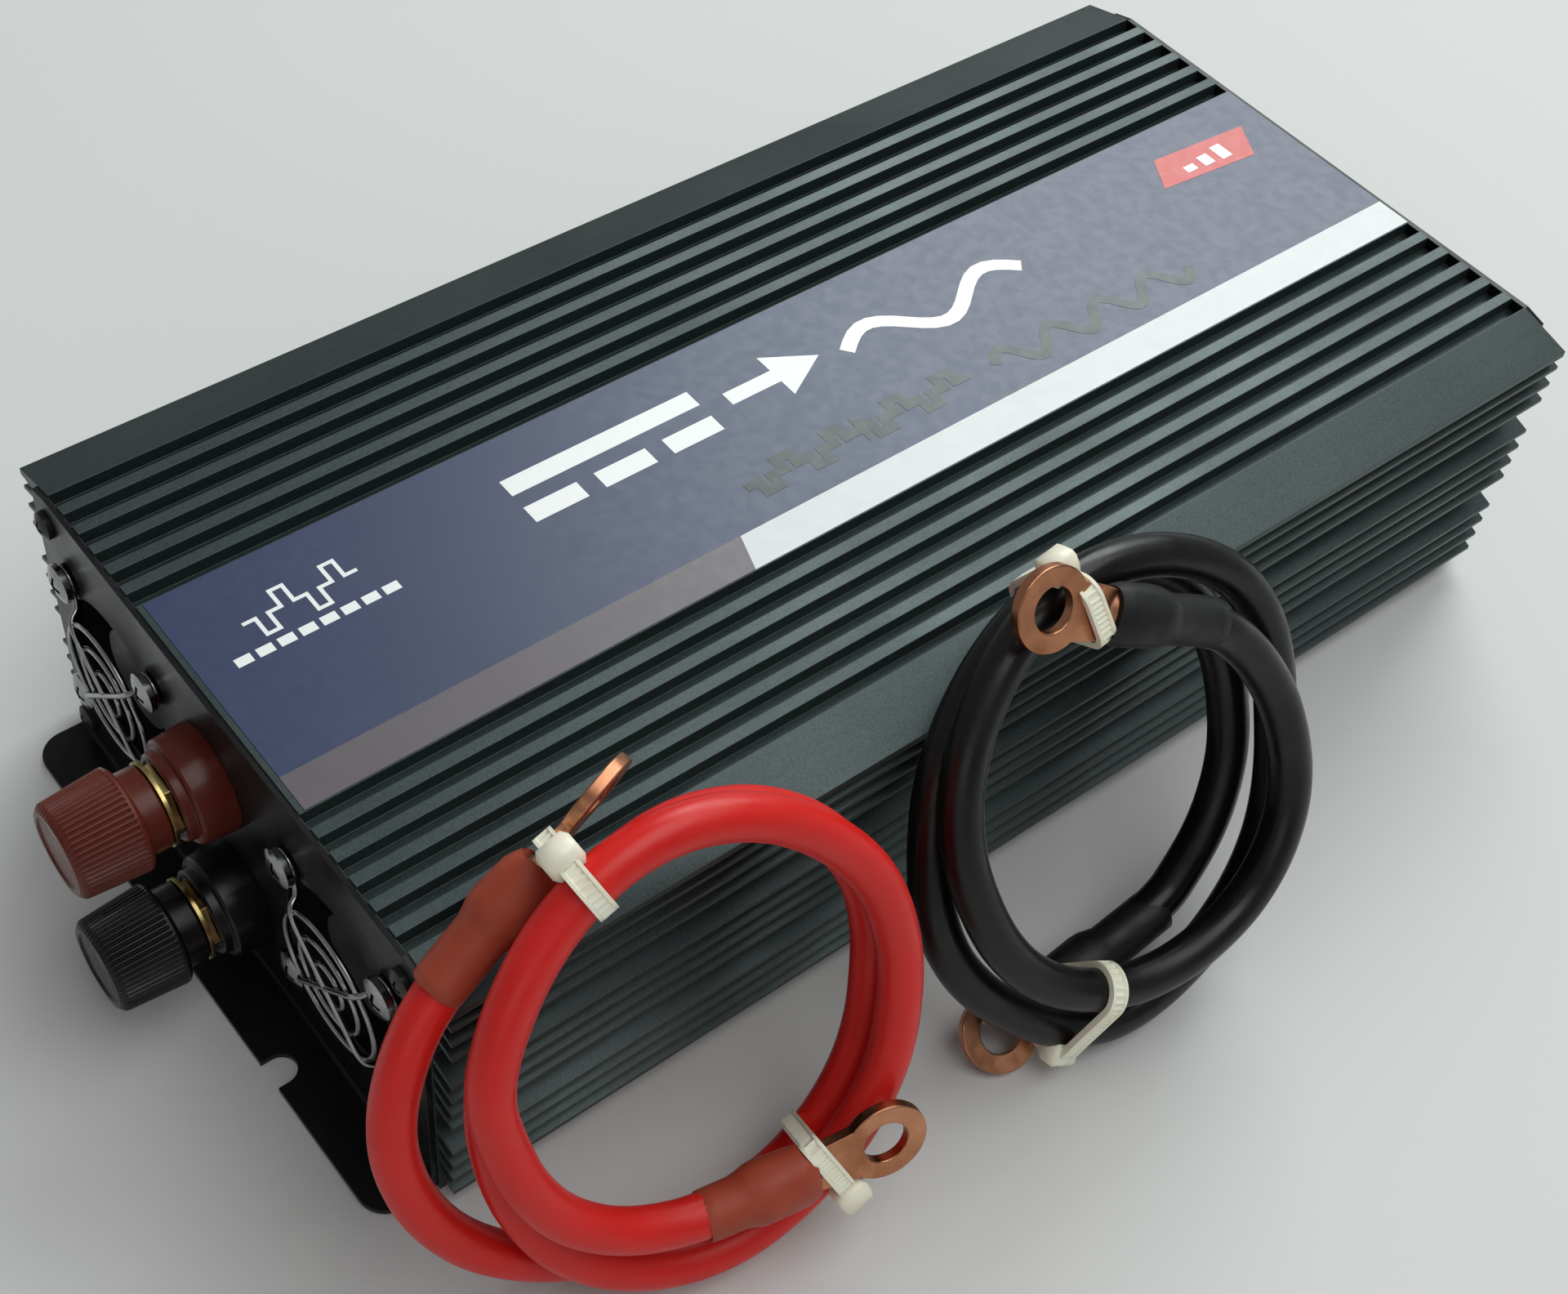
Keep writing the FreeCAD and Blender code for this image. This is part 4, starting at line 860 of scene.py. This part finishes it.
def make_knob(colour, material):
    """Knob with a smooth neck and a tapered skirt with fine ribs."""
    node = colour + "_post_knob"
    low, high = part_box(node)
    y, z = (low.y + high.y) / 2, (low.z + high.z) / 2
    near, far = high.x, low.x
    skirt = near - 4.6 * MM
    wide, slim = 10.2 * MM, 9.4 * MM
    neck = 8.1 * MM
    bore = 3.97 * MM
    bottom = near - 13.4 * MM
    centre = 0.05 * MM
    groove = 0.5 * MM
    ribs = 54
    profile = [
        (near, bore), (near, 7.7 * MM), (near - 0.4 * MM, neck), (skirt + 0.5 * MM, neck),
        (skirt, 8.5 * MM), (skirt, 9.6 * MM), (skirt - 0.5 * MM, wide - 0.05 * MM),
        (skirt - 1.0 * MM, wide, 0.0), (skirt - 1.3 * MM, wide, groove),
        (far + 1.5 * MM, slim, groove), (far + 1.0 * MM, slim - 0.1 * MM, groove * 0.8),
        (far + 0.4 * MM, slim - 0.7 * MM, groove * 0.3), (far, slim - 1.2 * MM), (far, 7.2 * MM),
        (far + 0.35 * MM, 6.9 * MM), (far + 0.35 * MM, centre), (bottom, centre), (bottom, bore),
    ]
    mesh = lathe_mesh(node + "_ribbed", profile, y, z, 480, ribs)
    piece(node + "_ribbed", mesh, material, colour + "_knob", [node])


def make_collar(colour, material):
    """Base collar with a stepped nose."""
    node = colour + "_post_base"
    low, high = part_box(node)
    y, z = (low.y + high.y) / 2, (low.z + high.z) / 2
    inner, outer = high.x, low.x
    foot_length = 11.9 * MM
    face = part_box("battery_panel")[0].x + foot_length
    bore = 3.95 * MM
    step = outer + 2.0 * MM
    profile = [
        (inner, bore), (inner, 6.0 * MM), (face, 6.0 * MM), (face, 10.9 * MM), (face - 0.4 * MM, 11.0 * MM),
        (step + 0.5 * MM, 10.45 * MM), (step, 10.0 * MM), (step, 9.1 * MM), (step - 0.15 * MM, 8.95 * MM),
        (outer + 0.3 * MM, 8.75 * MM), (outer, 8.4 * MM), (outer, 7.6 * MM), (outer + 0.4 * MM, 7.4 * MM),
        (outer + 0.4 * MM, bore),
    ]
    mesh = lathe_mesh(node + "_collar", profile, y, z, 128)
    piece(node + "_collar", mesh, material, "housing", [node])


# ------------------------------------------------------------ fan guards

def make_guard(side):
    """Bent wire guard: two crossed wires with eyes round the screws, and three rings behind them."""
    node = "fan_guard_" + side
    low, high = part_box(node)
    y, z = (low.y + high.y) / 2, (low.z + high.z) / 2
    wire = 0.6 * MM
    seat, crown = high.x - wire, low.x + wire
    reach = 16.0 * MM
    eye_radius = 2.9 * MM
    bend = 2.0 * MM
    setback = 0.9 * MM
    curve = bpy.data.curves.new(node, "CURVE")
    curve.dimensions = "3D"
    for radius in (14.5 * MM, 9.5 * MM, 4.5 * MM):
        add_stroke(curve, ring_points(crown + setback, y, z, radius), True)
    for slope in (-1, 1):
        ends = []
        for along, x in ((-1.0, seat), (-0.86, seat), (-0.78, crown), (-0.4, crown), (0.0, crown),
                         (0.4, crown), (0.78, crown), (0.86, seat), (1.0, seat)):
            step = along * (reach - bend)
            ends.append((x, y + step, z + slope * step))
        add_stroke(curve, ends, False)
        for end in (-1, 1):
            centre_y, centre_z = y + end * reach, z + slope * end * reach
            add_stroke(curve, ring_points(seat, centre_y, centre_z, eye_radius), True)
    curve.bevel_depth = wire
    curve.bevel_resolution = 4
    curve.resolution_u = 6
    curve.use_fill_caps = True
    piece(node + "_wires", curve, BRIGHT, "housing", [node])


def ring_points(x, y, z, radius):
    """Control points of a ring, set a little outside it because the curve runs inside its control points."""
    count = 16
    share_of_full_growth = 0.9
    grow = 1 / math.cos(math.pi / count) ** share_of_full_growth
    angles = [2 * math.pi * i / count for i in range(count)]
    return [(x, y + radius * grow * math.cos(a), z + radius * grow * math.sin(a)) for a in angles]


def add_stroke(curve, points, closed):
    spline = curve.splines.new("NURBS")
    spline.points.add(len(points) - 1)
    for point, place in zip(spline.points, points):
        point.co = (*place, 1.0)
    spline.use_cyclic_u = closed
    spline.order_u = 3
    spline.use_endpoint_u = not closed


# --------------------------------------------------------- kept CAD nodes

KEPT = {
    CASE: ["top_shell", "base_plate"],
    PANEL: ["battery_panel", "mains_panel"],
    BLACK_SCREW: ["end_panel_screws", "base_screws", "outlet_screws"],
    BLACK_PLASTIC: ["fan_frame_near", "fan_frame_far", "fan_rotor_near", "fan_rotor_far", "outlet_near",
                    "outlet_far", "rocker_frame", "post_inner_bushes"],
    BRIGHT: ["fan_screws"],
    ZINC: ["fan_nuts", "board_standoffs", "board_screws", "transistor_clamps"],
    RED_MOULDING: ["rocker_paddle"],
    BRASS: ["red_post_stud", "black_post_stud", "red_post_washer", "black_post_washer", "post_nuts",
            "outlet_contacts"],
    COPPER: ["positive_strap", "negative_strap"],
    WINDING: ["transformer_winding_a", "transformer_winding_b"],
    LAMP: ["indicator_lamps"],
    BOARD: ["main_board", "control_board"],
    FERRITE: ["transformer_core_a", "transformer_core_b"],
    COMPONENT: ["input_capacitors", "output_capacitor", "power_transistors"],
    FUSE: ["blade_fuses"],
}


def dress_kept_nodes():
    for material, names in KEPT.items():
        for name in names:
            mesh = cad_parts[name].data
            mesh.materials.clear()
            mesh.materials.append(material)


# --------------------------------------------------------- floor and light

def make_stage():
    size = 6.0
    mesh = bpy.data.meshes.new("floor")
    corners = [(-size, -size, 0), (size, -size, 0), (size, size, 0), (-size, size, 0)]
    mesh.from_pydata(corners, [], [(0, 1, 2, 3)])
    floor = bpy.data.objects.new("floor", mesh)
    floor.location.z = -0.1 * MM
    bpy.context.scene.collection.objects.link(floor)
    mesh.materials.append(floor_finish())
    world = bpy.data.worlds.new("world")
    world.use_nodes = True
    world.node_tree.nodes["Background"].inputs["Color"].default_value = (0.95, 0.97, 1.0, 1.0)
    world.node_tree.nodes["Background"].inputs["Strength"].default_value = 0.24
    bpy.context.scene.world = world


def area_light(name, place, target, size, power, colour):
    data = bpy.data.lights.new(name, "AREA")
    data.shape = "RECTANGLE"
    data.size, data.size_y = size
    data.energy = power
    data.color = colour
    light = bpy.data.objects.new(name, data)
    aim = Vector(target) - Vector(place)
    light.rotation_euler = aim.to_track_quat("-Z", "Y").to_euler()
    light.location = place
    bpy.context.scene.collection.objects.link(light)


def make_lights():
    bpy.context.scene.view_settings.view_transform = "Standard"
    middle = (0.0, 0.0, 0.05)
    area_light("window", (1.35, 0.85, 1.45), middle, (1.3, 1.0), 26.0, (0.93, 1.0, 0.98))
    area_light("overhead", (0.35, -0.5, 1.6), middle, (1.9, 1.1), 15.0, (0.97, 1.0, 0.98))
    area_light("front_fill", (-1.2, -1.1, 0.7), middle, (1.0, 0.8), 1.5, (1.0, 0.98, 0.95))


make_camera()
make_leads()
make_label()
for colour, material in (("red", RED_MOULDING), ("black", BLACK_MOULDING)):
    make_knob(colour, material)
    make_collar(colour, material)
make_guard("near")
make_guard("far")
dress_kept_nodes()
make_stage()
make_lights()
